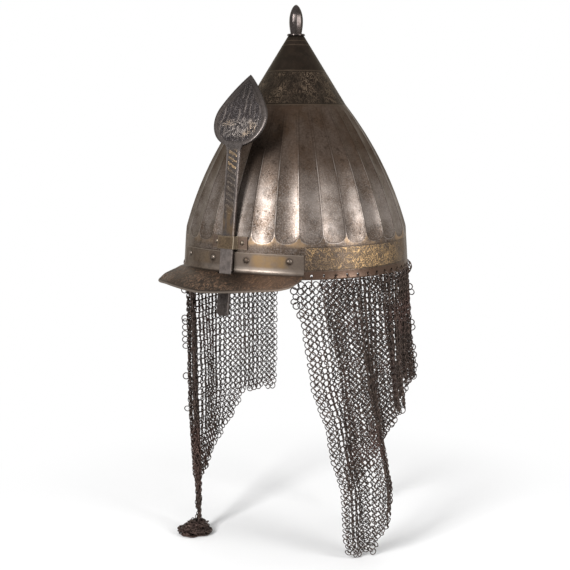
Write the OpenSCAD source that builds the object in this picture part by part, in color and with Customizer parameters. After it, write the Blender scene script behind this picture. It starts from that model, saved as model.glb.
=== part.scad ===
// Turban helmet: a fluted conical bowl with a riveted peak, a sliding nasal bar with a leaf
// finial, and two hanging curtains of mail. The origin is the centre of the rim's lower edge.
// +Z is up, the face looks along -Y, and the wearer's left is +X. Azimuths run from the face
// towards the wearer's left.

/* [Bowl] */
// Outside diameter at the rim
rim_d = 222.8; // [216:0.2:232]
// Thickness of the steel of the bowl
wall = 1.8; // [1.4:0.1:2.2]
// Height of the plain brow below the flutes
brow_h = 30; // [28:0.5:32]
// Height at which the brow turns in to the ogive
shoulder_h = 39; // [37:0.5:41]
// Inward lean of the brow, in degrees
brow_lean = 4; // [3:0.5:5]
// Radius of the ogive between shoulder and cone
ogive_r = 337; // [325:1:350]
// Lean of the ogive where it leaves the shoulder, in degrees
ogive_lean = 16; // [15:0.5:17]
// Height at which the plain cone begins
cone_h = 156; // [150:1:160]
// Height of the flat top of the cone
apex_h = 221.4; // [214:0.2:230]
// Diameter of the flat top of the cone
apex_d = 15.2; // [14:0.2:17]
// Step between the fluted body and the bands above and below it
band_step = 0.3; // [0.25:0.05:0.4]

/* [Flutes] */
// Number of hollow flutes round the bowl
flute_count = 31; // [29:1:33]
// Radius of the hollow of a flute
flute_r = 48; // [42:1:60]
// Height of the centre of a flute's rounded lower end
flute_foot = 45; // [44:0.5:50]
// Height of the centre of a flute's rounded upper end
flute_top = 146; // [140:1:148]

/* [Finial] */
// Height of the bud above its collar
bud_h = 27.5; // [24:0.5:32]
// Greatest width of the bud
bud_d = 13.6; // [12:0.2:15]
// Diameter of the bud's foot
bud_foot_d = 11; // [10:0.2:12]
// Diameter of the collar under the bud
collar_d = 17.4; // [16.5:0.1:19]
// Thickness of the collar
collar_t = 1.6; // [1.2:0.1:2]
// Diameter of the tang that passes through the apex
tang_d = 5; // [4:0.1:5.5]
// Diameter of the tang's peened end
peen_d = 7.4; // [6.6:0.1:7.8]

/* [Peak] */
// Thickness of the peak
peak_t = 1.5; // [1.2:0.1:1.8]
// Reach of the peak from the helmet's axis
peak_reach = 149; // [144:1:156]
// Half of the peak's greatest width
peak_half_w = 74; // [72:0.5:76]
// Radius of the peak's front corners
peak_corner_r = 24; // [20:1:30]
// How far the peak's plate reaches past the rim at the ends of its flange
peak_end = 5; // [4:0.5:7]
// Fall of the peak below the level, in degrees
peak_fall = 18; // [15:1:24]
// Half of the angle that the flange covers, in degrees
flange_half = 37; // [36:0.5:37.5]
// Height of the flange's upper edge
flange_h = 23.5; // [22:0.5:24.5]
// Height at which the flange turns out into the peak
flange_bend_h = 9; // [8.5:0.5:10]
// Inner radius of that bend
flange_bend_r = 4; // [3:0.5:4.5]
// Azimuth of the peak's inner rivets, in degrees
peak_rivet_near = 9.7; // [9.2:0.1:12]
// Azimuth of the peak's outer rivets, in degrees
peak_rivet_far = 30.3; // [27:0.1:32]
// Height of the peak's rivets
peak_rivet_h = 16.5; // [16:0.25:18]

/* [Nasal] */
// Thickness of the nasal bar and its leaf
nasal_t = 3; // [2.4:0.1:3.4]
// Width of the bar at the neck of the leaf
nasal_neck_w = 14.6; // [13.4:0.2:16]
// Width of the bar at its lower end
nasal_end_w = 13; // [12:0.2:14]
// Lean of the bar towards the crown, in degrees
nasal_lean = 7.5; // [7:0.25:8]
// Height of the bracket that guides the bar
bracket_h = 32; // [31.6:0.1:32.4]
// Gap between the brow and the back of the bar at the bracket
nasal_standoff = 1.9; // [1.7:0.1:2.4]
// Length of the bar above the bracket, up to the leaf
nasal_above = 87; // [80:1:92]
// Length of the bar below the bracket
nasal_below = 67; // [62:1:72]
// Height of the leaf
leaf_h = 69; // [62:1:72]
// Greatest width of the leaf
leaf_w = 57.5; // [52:0.5:60]
// Radius of the corners at the bar's lower end
nasal_end_r = 4; // [2:0.5:5]
// Height over which the bar flares into the leaf
nasal_flare_h = 6; // [4:0.5:8]
// Width added on each side by that flare
nasal_flare_w = 3; // [1:0.5:4]
// Further lean of the leaf towards the crown, in degrees
leaf_lean = 15.5; // [10:0.5:18]
// Width of the leaf's plain raised border
leaf_border = 4; // [3:0.5:5]
// Depth of the leaf's sunk field
leaf_sink = 0.5; // [0.3:0.1:0.8]
// Running clearance all round the bar
nasal_clearance = 0.35; // [0.25:0.05:0.4]

/* [Bracket] */
// Height of the bracket's strap
strap_h = 11.6; // [10:0.2:12.2]
// Thickness of the strap
strap_t = 1.3; // [1:0.1:1.5]
// Half of the bracket's length across both tabs
strap_half_l = 19; // [18.4:0.2:20]
// Distance of the bracket's rivets from the middle
bracket_rivet_x = 14; // [13.6:0.1:14.6]

/* [Rivets] */
// Shank diameter of every rivet
rivet_d = 3; // [2.6:0.1:3.2]
// Head diameter of the peak's rivets
peak_head_d = 5.4; // [5:0.1:6]
// Head diameter of the bracket's rivets
bracket_head_d = 4.6; // [4.2:0.1:5]
// Height of a rivet's head
head_h = 1.4; // [1.2:0.1:1.8]
// Diameter of the peened end inside the bowl
clench_d = 5; // [4.4:0.1:5.4]
// Radial clearance of a rivet's shank in its holes
rivet_fit = 0.05; // [0.03:0.01:0.08]
// Gap left between pieces that seat on each other
seat_gap = 0.08; // [0.05:0.01:0.1]

/* [Mail] */
// Azimuth at which the cheek curtain begins, in degrees
cheek_from = -60; // [-62:1:-56]
// Azimuth at which the cheek curtain ends, in degrees
cheek_to = -136; // [-140:1:-125]
// Azimuth at which the neck curtain begins, in degrees
neck_from = 38; // [37:1:41]
// Angle left bare between the two curtains at the back, in degrees
curtain_split = 20; // [12:1:30]
// Turn of the suspension rings out of the radial plane, in degrees
ring_turn = 10; // [0:1:14]
// Diameter of the holes along the rim
hole_d = 2.4; // [2.2:0.1:2.8]
// Height of those holes above the rim's edge
hole_h = 3.5; // [3:0.1:4]
// Outside diameter of a suspension ring
ring_d = 11; // [10.5:0.1:12]
// Thickness of a suspension ring's wire
ring_wire = 1; // [0.9:0.05:1.2]
// Gap between a suspension ring and the lowest point of its hole
ring_play = 0.15; // [0.12:0.01:0.3]
// Gap between the suspension rings and the mail's upper edge
mail_gap = 0.3; // [0.25:0.05:0.4]
// Depth of the surface that the mail's tips reach, below the rim
floor_depth = 289; // [280:1:300]
// Thickness of the mail curtain
mail_t = 1.6; // [1.4:0.1:2]
// Depth of the mail's folds
fold_size = 6; // [3:0.5:7]
// Width of the rope that the cheek curtain's front edge has rolled into
rope_w = 11; // [9:0.5:13]
// How far inside the rim's edge the mail hangs
mail_inset = 0.8; // [0.4:0.1:1.2]

/* [Hidden] */
$fn = 96;
steel = "dimgray";
dark_steel = "#3a3532";
gilt = "#8a7046";
over = 1;

function unit(v) = v / norm(v);
function smooth(a) = a * a * (3 - 2 * a);
function mix(a, b, k) = a + (b - a) * k;

// Profile of the bowl: radius and lean at a height
rim_r = rim_d / 2;
shoulder_r = rim_r - shoulder_h * tan(brow_lean);
ogive_c = [shoulder_r - ogive_r * cos(ogive_lean), shoulder_h - ogive_r * sin(ogive_lean)];
function brow_radius(z) = rim_r - z * tan(brow_lean);
function ogive_radius(z) = ogive_c[0] + sqrt(pow(ogive_r, 2) - pow(z - ogive_c[1], 2));
function body_radius(z) = z < shoulder_h ? brow_radius(z) : ogive_radius(z);
function body_lean(z) = z < shoulder_h ? brow_lean : asin((z - ogive_c[1]) / ogive_r);
cone_r = ogive_radius(cone_h);
cone_lean = atan2(cone_r - apex_d / 2, apex_h - cone_h);

// Radius of the fluted body at an azimuth measured from a ridge. The hollow is that of a tube of
// radius flute_r that meets its neighbours on the ridges, with a ball end at its foot and top.
half_flute = 180 / flute_count;
function tube_axis(r) = r * cos(half_flute) + sqrt(pow(flute_r, 2) - pow(r * sin(half_flute), 2));
function hollow(r, a, e) = let(x = tube_axis(r) - sqrt(pow(flute_r, 2) - pow(r * sin(a), 2) - pow(e, 2)))
    min(r, norm([x, r * sin(a)]));
function past_end(z) = z < flute_foot ? flute_foot - z : max(0, z - flute_top);
function fluted_radius(z, a) = let(r = body_radius(z), e = min(past_end(z), flute_r / 3))
    hollow(r, abs(a % (2 * half_flute) - half_flute), e);

// Closed solid from a loop of rows, each a closed row of points
module loop_solid(rows) {
    n = len(rows[0]);
    m = len(rows);
    polyhedron(points = [for (row = rows) each row],
        faces = [for (j = [0 : m - 1], i = [0 : n - 1])
            let(k = (j + 1) % m, h = (i + 1) % n)
            each [[j * n + i, k * n + i, k * n + h], [j * n + i, k * n + h, j * n + h]]]);
}

flute_steps = 5;
crown_columns = flute_count * flute_steps;
crown_low = brow_h - over;
crown_high = cone_h + over;
foot_zone = [for (k = [0 : 5]) mix(crown_low, flute_foot + 6, k / 5)];
body_zone = [for (k = [1 : 5]) mix(flute_foot + 6, flute_top, k / 5)];
top_zone = [for (k = [1 : 2]) mix(flute_top, crown_high, k / 2)];
outer_heights = concat(foot_zone, body_zone, top_zone);
inner_heights = [crown_high, flute_top, for (k = [1 : 3]) mix(flute_top, flute_foot, k / 3), crown_low];

function crown_row(z, inset) = [for (i = [0 : crown_columns - 1])
    let(a = i * 360 / crown_columns, r = fluted_radius(z, a) - band_step - inset)
    [r * sin(a), -r * cos(a), z]];

module fluted_crown() {
    loop_solid(concat([for (z = outer_heights) crown_row(z, 0)],
        [for (z = inner_heights) crown_row(z, wall / cos(body_lean(z)))]));
}

module brow() {
    inner = rim_r - wall / cos(brow_lean);
    taper = brow_h * tan(brow_lean);
    difference() {
        rotate_extrude() polygon([[inner, 0], [rim_r, 0], [rim_r - taper, brow_h], [inner - taper, brow_h]]);
        for (k = rim_holes) rotate([0, 0, k * hole_pitch]) translate([0, -rim_r, hole_h])
            rotate([90, 0, 0]) cylinder(d = hole_d, h = 4 * wall, center = true, $fn = 24);
    }
}

module cone() {
    side = wall / cos(cone_lean);
    roof = apex_h - wall;
    difference() {
        rotate_extrude() polygon([[cone_r - side, cone_h], [cone_r, cone_h],
            [apex_d / 2, apex_h], [0, apex_h],
            [0, roof], [apex_d / 2 + wall * tan(cone_lean) - side, roof]]);
        translate([0, 0, roof]) cylinder(r = tang_d / 2 + rivet_fit, h = 4 * wall, center = true);
    }
}

module bowl() {
    color(steel) difference() {
        union() {
            brow();
            fluted_crown();
            cone();
        }
        for (a = peak_rivet_azimuths) at_brow(a, peak_rivet_h) rivet_hole();
        for (s = [-1, 1]) at_brow(s * bracket_rivet_a, bracket_h) rivet_hole();
    }
}

// Places children on the brow, with +Z along the outward normal of its surface
module at_brow(azimuth, z) {
    rotate([0, 0, azimuth]) translate([0, -brow_radius(z), z]) rotate([90 - brow_lean, 0, 0]) children();
}

module rivet_hole() {
    cylinder(r = rivet_d / 2 + rivet_fit, h = 6 * wall, center = true, $fn = 32);
}

// Rivet with a domed head on top of a stack that rises to grip above the brow's face, and a
// peened end under a wall whose inner face lies at the given depth
module rivet(grip, head_d, depth) {
    ball_r = (pow(head_h, 2) + pow(head_d / 2, 2)) / (2 * head_h);
    low = -depth - seat_gap;
    translate([0, 0, low]) cylinder(d = rivet_d, h = grip + seat_gap - low);
    translate([0, 0, grip + seat_gap]) intersection() {
        translate([0, 0, head_h - ball_r]) sphere(r = ball_r);
        cylinder(d = 2 * head_d, h = 2 * head_h);
    }
    translate([0, 0, low - head_h / 2]) cylinder(d = clench_d, h = head_h / 2);
}

// Finial
bud_base = apex_h + seat_gap + collar_t + seat_gap;

bud_belly = 0.42;
function bud_point(t) = [t < bud_belly
    ? mix(bud_foot_d, bud_d, sin(90 * t / bud_belly)) / 2
    : bud_d / 2 * pow(1 - pow((t - bud_belly) / (1 - bud_belly), 2), 0.6), t * bud_h];

module finial() {
    color(dark_steel) {
        translate([0, 0, bud_base]) rotate_extrude($fn = 10)
            polygon([[0, 0], for (k = [0 : 12]) bud_point(k / 12)]);
        translate([0, 0, apex_h - wall - seat_gap - head_h]) {
            cylinder(d = peen_d, h = head_h);
            cylinder(d = tang_d, h = bud_base - (apex_h - wall - seat_gap - head_h) + 2);
        }
    }
}

module finial_collar() {
    color(dark_steel) translate([0, 0, apex_h + seat_gap]) difference() {
        rotate_extrude() polygon([[0, 0], [collar_d / 2, 0], [collar_d / 2, collar_t * 0.6],
            [collar_d / 2 - collar_t * 0.4, collar_t], [0, collar_t]]);
        cylinder(r = tang_d / 2 + rivet_fit, h = 4 * collar_t, center = true);
    }
}

// Peak
flange_in = seat_gap / cos(brow_lean);
flange_out = flange_in + peak_t / cos(brow_lean);
bend_c = [brow_radius(flange_bend_h) + flange_out + flange_bend_r / cos(brow_lean), flange_bend_h];

bend_steps = 4;
function bend_point(r, k) = let(a = mix(180 + brow_lean, 270 - peak_fall, k / bend_steps))
    bend_c + r * [cos(a), sin(a)];
function on_flange(x, y) = bend_c
    + x * [cos(brow_lean), sin(brow_lean)] + y * [-sin(brow_lean), cos(brow_lean)];
function on_plate(x, y) = bend_c
    + x * [cos(peak_fall), -sin(peak_fall)] + y * [sin(peak_fall), cos(peak_fall)];

module peak_profile() {
    inner = flange_bend_r;
    outer = flange_bend_r + peak_t;
    rise = flange_h - flange_bend_h;
    run = peak_reach - brow_radius(0);
    polygon(concat([on_flange(-outer, rise), on_flange(-inner, rise)],
        [for (k = [0 : bend_steps]) bend_point(inner, k)],
        [on_plate(run, -inner), on_plate(run, -outer)],
        [for (k = [bend_steps : -1 : 0]) bend_point(outer, k)]));
}

// Plan of the peak, with the helmet's front towards -Y
corner_x = peak_half_w - peak_corner_r;
corner_y = -sqrt(pow(peak_reach - peak_corner_r, 2) - pow(corner_x, 2));
corner_a = atan2(corner_x, -corner_y);
side_end = (brow_radius(0) + peak_end) * [sin(flange_half), -cos(flange_half)];
side_past = 2 * side_end - [peak_half_w, corner_y];

module peak_plan() {
    intersection() {
        circle(r = peak_reach, $fn = 360);
        polygon([[0, 0], for (s = [-1, 1]) 2 * peak_reach * [s * sin(corner_a), -cos(corner_a)]]);
    }
    for (s = [-1, 1]) translate([s * corner_x, corner_y]) circle(r = peak_corner_r);
    polygon([[0, 0], [-side_past[0], side_past[1]], [-peak_half_w, corner_y],
        [-corner_x, corner_y - peak_corner_r / 2], [corner_x, corner_y - peak_corner_r / 2],
        [peak_half_w, corner_y], side_past]);
}

module peak() {
    color(steel) difference() {
        intersection() {
            rotate([0, 0, -90 - flange_half]) rotate_extrude(angle = 2 * flange_half) peak_profile();
            translate([0, 0, -peak_reach]) linear_extrude(2 * peak_reach) peak_plan();
        }
        in_slide() translate([-slot_w / 2, -nasal_t / 2 - nasal_clearance, -nasal_below])
            cube([slot_w, nasal_t + 2 * nasal_clearance, nasal_below]);
        for (a = peak_rivet_azimuths) at_brow(a, peak_rivet_h) rivet_hole();
    }
}

peak_rivet_azimuths = [-peak_rivet_far, -peak_rivet_near, peak_rivet_near, peak_rivet_far];

module peak_rivets() {
    color(steel) for (a = peak_rivet_azimuths) at_brow(a, peak_rivet_h)
        rivet(seat_gap + peak_t, peak_head_d, wall);
}

// Nasal bar. Its slide frame stands at the bracket, +Z up along the bar, -Y outwards.
slide_r = brow_radius(bracket_h) + nasal_standoff + nasal_t / 2;
slot_w = nasal_neck_w + 2 * nasal_clearance;
module in_slide() {
    translate([0, -slide_r, bracket_h]) rotate([-nasal_lean, 0, 0]) children();
}
// Turns a drawing in X and height into a plate of the bar's thickness
module plate(t) {
    rotate([90, 0, 0]) linear_extrude(t, center = true) children();
}

// Half leaf: a round shoulder, then a long side arc that runs to the point
lobe_r = leaf_w * 0.43;
lobe_x = leaf_w / 2 - lobe_r;
side_from = 30;
side_point = [lobe_x + lobe_r * cos(side_from), lobe_r + lobe_r * sin(side_from)];
side_n = [cos(side_from), sin(side_from)];
side_chord = [0, leaf_h] - side_point;
side_r = -(side_chord * side_chord) / (2 * side_chord * side_n);
side_c = side_point - side_r * side_n;

module leaf_plan(inset) {
    joint_y = side_point[1] - inset * side_n[1];
    for (s = [-1, 1]) translate([s * lobe_x, lobe_r]) circle(r = lobe_r - inset);
    translate([-lobe_x, inset]) square([2 * lobe_x, joint_y - inset]);
    intersection() {
        translate(side_c) circle(r = side_r - inset, $fn = 360);
        translate([-side_c[0], side_c[1]]) circle(r = side_r - inset, $fn = 360);
        translate([-leaf_w, joint_y]) square([2 * leaf_w, leaf_h]);
    }
}

module bar_plan() {
    corner = nasal_end_w / 2 - nasal_end_r;
    low = nasal_end_r - nasal_below;
    for (s = [-1, 1]) translate([s * corner, low]) circle(r = nasal_end_r);
    translate([-corner, -nasal_below]) square([2 * corner, nasal_end_r]);
    polygon([[-nasal_end_w / 2, low], [nasal_end_w / 2, low],
        [nasal_neck_w / 2, nasal_above - nasal_flare_h],
        [nasal_neck_w / 2 + nasal_flare_w, nasal_above + leaf_border / 2],
        [-nasal_neck_w / 2 - nasal_flare_w, nasal_above + leaf_border / 2],
        [-nasal_neck_w / 2, nasal_above - nasal_flare_h]]);
}

module nasal_bar() {
    color(steel) in_slide() {
        plate(nasal_t) bar_plan();
        translate([0, 0, nasal_above]) rotate([-leaf_lean, 0, 0]) difference() {
            plate(nasal_t) leaf_plan(0);
            translate([0, leaf_sink - nasal_t, 0]) plate(nasal_t) leaf_plan(leaf_border);
        }
    }
}

// Bracket over the nasal bar
bracket_rivet_a = asin(bracket_rivet_x / brow_radius(bracket_h));
strap_a = asin(strap_half_l / brow_radius(bracket_h));
bridge_half = slot_w / 2;
bridge_y = nasal_t / 2 + nasal_clearance;

module nasal_bracket() {
    color(gilt) difference() {
        union() {
            in_slide() difference() {
                translate([-bridge_half - strap_t, -bridge_y - strap_t, -strap_h / 2])
                    cube([2 * (bridge_half + strap_t), 2 * bridge_y + 2 * strap_t, strap_h]);
                translate([-bridge_half, -bridge_y, -strap_h])
                    cube([2 * bridge_half, 4 * bridge_y, 2 * strap_h]);
            }
            for (s = [0, 1]) mirror([s, 0, 0]) strap_tab();
        }
        rotate_extrude() polygon([[0, bracket_h - strap_h],
            [brow_radius(bracket_h - strap_h) + flange_in, bracket_h - strap_h],
            [brow_radius(bracket_h + strap_h) + flange_in, bracket_h + strap_h], [0, bracket_h + strap_h]]);
        for (s = [-1, 1]) at_brow(s * bracket_rivet_a, bracket_h) rivet_hole();
    }
}

module strap_tab() {
    from = asin(bridge_half / brow_radius(bracket_h));
    low = bracket_h - strap_h / 2;
    high = bracket_h + strap_h / 2;
    rotate([0, 0, from - 90]) rotate_extrude(angle = strap_a - from) polygon([
        [brow_radius(low) + flange_in / 2, low], [brow_radius(low) + flange_in + strap_t, low],
        [brow_radius(high) + flange_in + strap_t, high], [brow_radius(high) + flange_in / 2, high]]);
}

// The inner face runs straight from the crown's lower edge to the flutes' feet
function inner_face(z) = fluted_radius(z, half_flute) - band_step - wall / cos(body_lean(z));
clench_top = bracket_h + clench_d / 2;
wall_under_bracket = brow_radius(clench_top) - mix(inner_face(crown_low), inner_face(flute_foot),
    (clench_top - crown_low) / (flute_foot - crown_low));

module bracket_rivets() {
    color(gilt) for (s = [-1, 1]) at_brow(s * bracket_rivet_a, bracket_h)
        rivet(seat_gap + strap_t, bracket_head_d, wall_under_bracket);
}

// Rim holes, two to a flute and none behind the peak, and the rings that hang in them
hole_pitch = half_flute;
mail_r = brow_radius(0) - mail_inset;
first_hole = ceil((flange_half + 2) / hole_pitch);
rim_holes = [first_hole : 2 * flute_count - first_hole];
empty_hole = first_hole + 1;
ring_mean = (ring_d - ring_wire) / 2;
ring_z = hole_h - hole_d / 2 + ring_wire / 2 + ring_play - ring_mean;
neck_to = 360 + cheek_to - curtain_split;

module suspension_rings(from, to) {
    for (k = [ceil(from / hole_pitch) : floor(to / hole_pitch)]) if (k != empty_hole)
        rotate([0, 0, k * hole_pitch])
            translate([0, wall / 2 - brow_radius(hole_h), ring_z])
                rotate([0, 0, k % 2 == 0 ? ring_turn : -ring_turn]) rotate([0, 90, 0])
                    rotate_extrude($fn = 48) translate([ring_mean, 0]) circle(d = ring_wire, $fn = 16);
}

module cheek_suspension_rings() color(dark_steel) suspension_rings(cheek_to, cheek_from);
module neck_suspension_rings() color(dark_steel) suspension_rings(neck_from, neck_to);

// Hanging mail. Its forms are laid out on axes turned towards the wearer's left: x across,
// y forward, and t from 0 at the upper edge to 1 at the floor.
hang_turn = 33;
mail_top = ring_z - ring_mean - ring_wire / 2 - mail_gap;
function drop_z(t) = mix(mail_top, -floor_depth, t);
function hang(x, y, z) = [
    x * cos(hang_turn) + y * sin(hang_turn), x * sin(hang_turn) - y * cos(hang_turn), z];

// Neck curtain: from the left cheek round to the back, a C in plan that draws together downwards
neck_a = neck_from - hang_turn;
neck_b = neck_to - hang_turn;
// For each drop: x of the front edge, of the back edge and of the middle, as parts of mail_r
neck_front_x = [[0, 0.02], [0.05, 0.012], [0.12, 0.042], [0.23, 0.083], [0.36, 0.131], [0.48, 0.238],
    [0.58, 0.278], [0.67, 0.339], [0.72, 0.382], [0.9, 0.41], [1, 0.445]];
neck_back_x = [[0, 0.19], [0.25, 0.28], [0.45, 0.42], [0.65, 0.47], [1, 0.5]];
neck_mid_x = [[0, 1], [0.25, 1.02], [0.5, 1.07], [0.57, 1.11], [0.75, 1.17], [1, 1.15]];
// Depth of the C towards the front and the back
neck_front_y = [[0, 1], [0.25, 0.92], [0.5, 0.78], [0.75, 0.65], [1, 0.5]];
neck_back_y = [[0, 1], [0.25, 0.9], [0.5, 0.74], [0.75, 0.62], [1, 0.5]];
// How far down the curtain reaches at each part of its width
neck_hem = [[0, 1], [0.124, 1], [0.136, 0.95], [0.188, 0.88], [0.215, 0.8], [0.222, 0.58], [0.255, 0.53],
    [0.28, 0.5], [0.31, 0.47], [0.34, 0.44], [0.42, 0.385], [0.5, 0.39], [0.6, 0.44], [0.66, 0.55], [0.74, 0.59],
    [0.8, 0.69], [0.86, 0.745], [0.92, 0.855], [1, 0.935]];
fold_share = [[0, 0], [0.12, 0.33], [0.4, 1], [0.8, 0.83], [1, 0.42]];
neck_folds = 7;

function neck_point(u, t) = let(
    a = mix(neck_a, neck_b, u),
    front = a < 90,
    edge_a = front ? neck_a : neck_b,
    w = (sin(a) - sin(edge_a)) / (1 - sin(edge_a)),
    x = mix(lookup(t, front ? neck_front_x : neck_back_x), lookup(t, neck_mid_x), w),
    y = cos(a) / cos(edge_a) * (front ? cos(neck_a) : cos(neck_b))
        * lookup(t, front ? neck_front_y : neck_back_y),
    fold = fold_size * lookup(t, fold_share) * sin(360 * neck_folds * u + 40))
    [mail_r * x + fold * sin(a), mail_r * y + fold * cos(a)];

function neck_normal(u, t) = let(d = neck_point(min(1, u + 0.004), t) - neck_point(max(0, u - 0.004), t))
    unit([-d[1], d[0]]);

module sheet_solid(columns, rows) {
    // columns: for each column the list of [outer, inner] points from top to bottom
    loop = [for (c = columns) concat([for (p = c) p[0]], [for (k = [len(c) - 1 : -1 : 0]) c[k][1]])];
    n = len(loop[0]);
    m = len(loop);
    half = n / 2;
    polyhedron(points = [for (c = loop) each c],
        faces = concat([for (j = [0 : m - 2], i = [0 : n - 1]) let(h = (i + 1) % n)
                each [[j * n + i, j * n + h, (j + 1) * n + h],
                    [j * n + i, (j + 1) * n + h, (j + 1) * n + i]]],
            [for (i = [0 : half - 2]) each [[i, n - 1 - i, n - 2 - i], [i, n - 2 - i, i + 1]]],
            [for (i = [0 : half - 2]) let(b = (m - 1) * n)
                each [[b + i, b + n - 2 - i, b + n - 1 - i], [b + i, b + i + 1, b + n - 2 - i]]]));
}

neck_us = [for (k = [0 : 37]) k / 37];
mail_rows = 14;
module neck_mail() {
    color(dark_steel) sheet_solid([for (u = neck_us) let(hem = lookup(u, neck_hem))
        [for (k = [0 : mail_rows])
            let(t = hem * k / mail_rows, p = neck_point(u, t), n = neck_normal(u, t) * mail_t / 2)
            [for (s = [1, -1]) hang(p[0] + s * n[0], p[1] + s * n[1], drop_z(t))]]]);
}

// Cheek curtain: a sheet on the wearer's right, whose front edge is rolled into a rope
cheek_a = cheek_from - hang_turn;
cheek_b = cheek_to - hang_turn;
cheek_hem = [[0, 0.8], [0.36, 0.79], [0.44, 0.75], [0.58, 0.67], [0.68, 0.58], [0.72, 0.53], [1, 0.54]];
cheek_draw = [[0, 0], [0.5, 0.02], [0.65, 0.15], [0.8, 0.5], [1, 0.9]];
// The rope at each drop: x and y as parts of mail_r, then half width and half depth as parts of
// rope_w. It narrows to a cord and ends in a small heap on the floor.
rope = [[0, -0.954, -0.04, 0.41, 0.41], [0.15, -0.948, -0.042, 0.41, 0.45],
    [0.3, -0.94, -0.045, 0.41, 0.45], [0.45, -0.936, -0.048, 0.41, 0.45], [0.6, -0.931, -0.052, 0.45, 0.5],
    [0.72, -0.93, -0.058, 0.47, 0.5], [0.8, -0.928, -0.063, 0.4, 0.45], [0.88, -0.927, -0.063, 0.31, 0.36],
    [0.925, -0.925, -0.063, 0.24, 0.27], [0.95, -0.931, -0.054, 0.55, 0.55],
    [0.965, -0.949, -0.045, 1.1, 0.9], [0.985, -0.967, -0.036, 1.64, 1.2], [1, -0.967, -0.036, 1.45, 1]];
rope_sides = 10;

function cheek_point(u, t) = let(a = mix(cheek_a, cheek_b, u), k = lookup(t, cheek_draw),
    fold = fold_size * lookup(t, fold_share) * 0.5 * sin(360 * 2.5 * u))
    mix([mail_r * sin(a) * (1 - 0.03 * t) + fold * sin(a), mail_r * cos(a) + fold * cos(a)],
    mail_r * [rope[6][1], rope[6][2]], k);
function cheek_normal(u, t) = let(d = cheek_point(min(1, u + 0.004), t) - cheek_point(max(0, u - 0.004), t))
    unit([-d[1], d[0]]);
cheek_us = [for (k = [0 : 22]) k / 22];

module cheek_mail() {
    color(dark_steel) {
        sheet_solid([for (u = cheek_us) let(hem = lookup(u, cheek_hem))
            [for (k = [0 : mail_rows])
                let(t = hem * k / mail_rows, p = cheek_point(u, t), n = cheek_normal(u, t) * mail_t / 2)
                [for (s = [-1, 1]) hang(p[0] + s * n[0], p[1] + s * n[1], drop_z(t))]]]);
        rope_solid();
    }
}

module rope_solid() {
    n = rope_sides;
    rows = [for (r = rope) [for (i = [0 : n - 1]) let(a = i * 360 / n)
        hang(mail_r * r[1] + rope_w * r[3] * cos(a), mail_r * r[2] + rope_w * r[4] * sin(a), drop_z(r[0]))]];
    m = len(rows);
    polyhedron(points = [for (row = rows) each row],
        faces = concat([[for (i = [0 : n - 1]) i]], [[for (i = [n - 1 : -1 : 0]) (m - 1) * n + i]],
            [for (j = [0 : m - 2], i = [0 : n - 1]) let(h = (i + 1) % n)
                each [[j * n + i, (j + 1) * n + i, (j + 1) * n + h],
                    [j * n + i, (j + 1) * n + h, j * n + h]]]));
}

bowl();
finial();
finial_collar();
peak();
peak_rivets();
nasal_bar();
nasal_bracket();
bracket_rivets();
cheek_suspension_rings();
neck_suspension_rings();
cheek_mail();
neck_mail();
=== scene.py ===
from math import acos, atan2, ceil, cos, degrees, pi, radians, sin, sqrt, tan

import bmesh
import bpy
import numpy as np
from bpy.props import FloatProperty, FloatVectorProperty, IntProperty, PointerProperty
from mathutils import Matrix, Vector


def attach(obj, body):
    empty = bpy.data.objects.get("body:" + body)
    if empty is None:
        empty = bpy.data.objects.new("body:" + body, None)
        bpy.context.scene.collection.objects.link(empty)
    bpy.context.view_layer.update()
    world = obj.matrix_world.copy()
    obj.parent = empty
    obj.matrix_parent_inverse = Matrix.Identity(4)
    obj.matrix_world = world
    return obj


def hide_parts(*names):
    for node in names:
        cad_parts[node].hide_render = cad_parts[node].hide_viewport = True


bl_info = {
    "name": "Turban Helmet",
    "version": (1, 0, 0),
    "blender": (4, 5, 0),
    "location": "View3D > Sidebar > Helmet",
    "description": "Fluted steel helmet with a sliding nasal bar and hanging mail",
    "category": "Object",
}

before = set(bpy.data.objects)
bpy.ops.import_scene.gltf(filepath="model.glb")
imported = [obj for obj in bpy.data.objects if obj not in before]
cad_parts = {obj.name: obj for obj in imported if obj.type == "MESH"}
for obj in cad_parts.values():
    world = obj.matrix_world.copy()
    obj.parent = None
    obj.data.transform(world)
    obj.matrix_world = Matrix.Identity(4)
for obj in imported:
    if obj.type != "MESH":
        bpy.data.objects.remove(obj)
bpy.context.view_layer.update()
MM = 0.001
# The UV maps that count millimetres hold them times 0.01
UV_PER_MM = 0.01
MM_PER_UV = 100

# Sizes of the steel shell, in millimetres and degrees, as the CAD model has them
RIM_R = 111.4
WALL = 1.8
SHOULDER_H = 39.0
BROW_LEAN = radians(4.0)
OGIVE_R = 337.0
OGIVE_LEAN = radians(16.0)
CONE_H = 156.0
APEX_H = 221.4
APEX_R = 7.6
FLUTES = 31
FLUTE_R = 48.0
FLUTE_FOOT = 45.0
FLUTE_TOP = 146.0
# How far a flute's rounded end goes past its straight part
FLUTE_END = FLUTE_R / 3
HALF_FLUTE = pi / FLUTES
SHOULDER_R = RIM_R - SHOULDER_H * tan(BROW_LEAN)
OGIVE_X = SHOULDER_R - OGIVE_R * cos(OGIVE_LEAN)
OGIVE_Z = SHOULDER_H - OGIVE_R * sin(OGIVE_LEAN)
HOLE_PITCH = HALF_FLUTE
HOLE_H = 3.5
HOLE_D = 2.4
RIM_BAND_TOP = 7.5
COLLAR_T = 1.6
# Gap between seated pieces, and how far the peak's flange reaches to each side, in degrees
SEAT_GAP = 0.08
FLANGE_DEGREES = 37
# Azimuths of the peak's rivets to each side, in degrees, and their height
PEAK_RIVETS = (9.7, 30.3)
PEAK_RIVET_H = 16.5


def mix(a, b, k):
    return a + (b - a) * k


def look(t, table):
    """Value at t of a table of points, with straight lines between them."""
    return np.interp(t, [p[0] for p in table], [p[1] for p in table])


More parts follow.
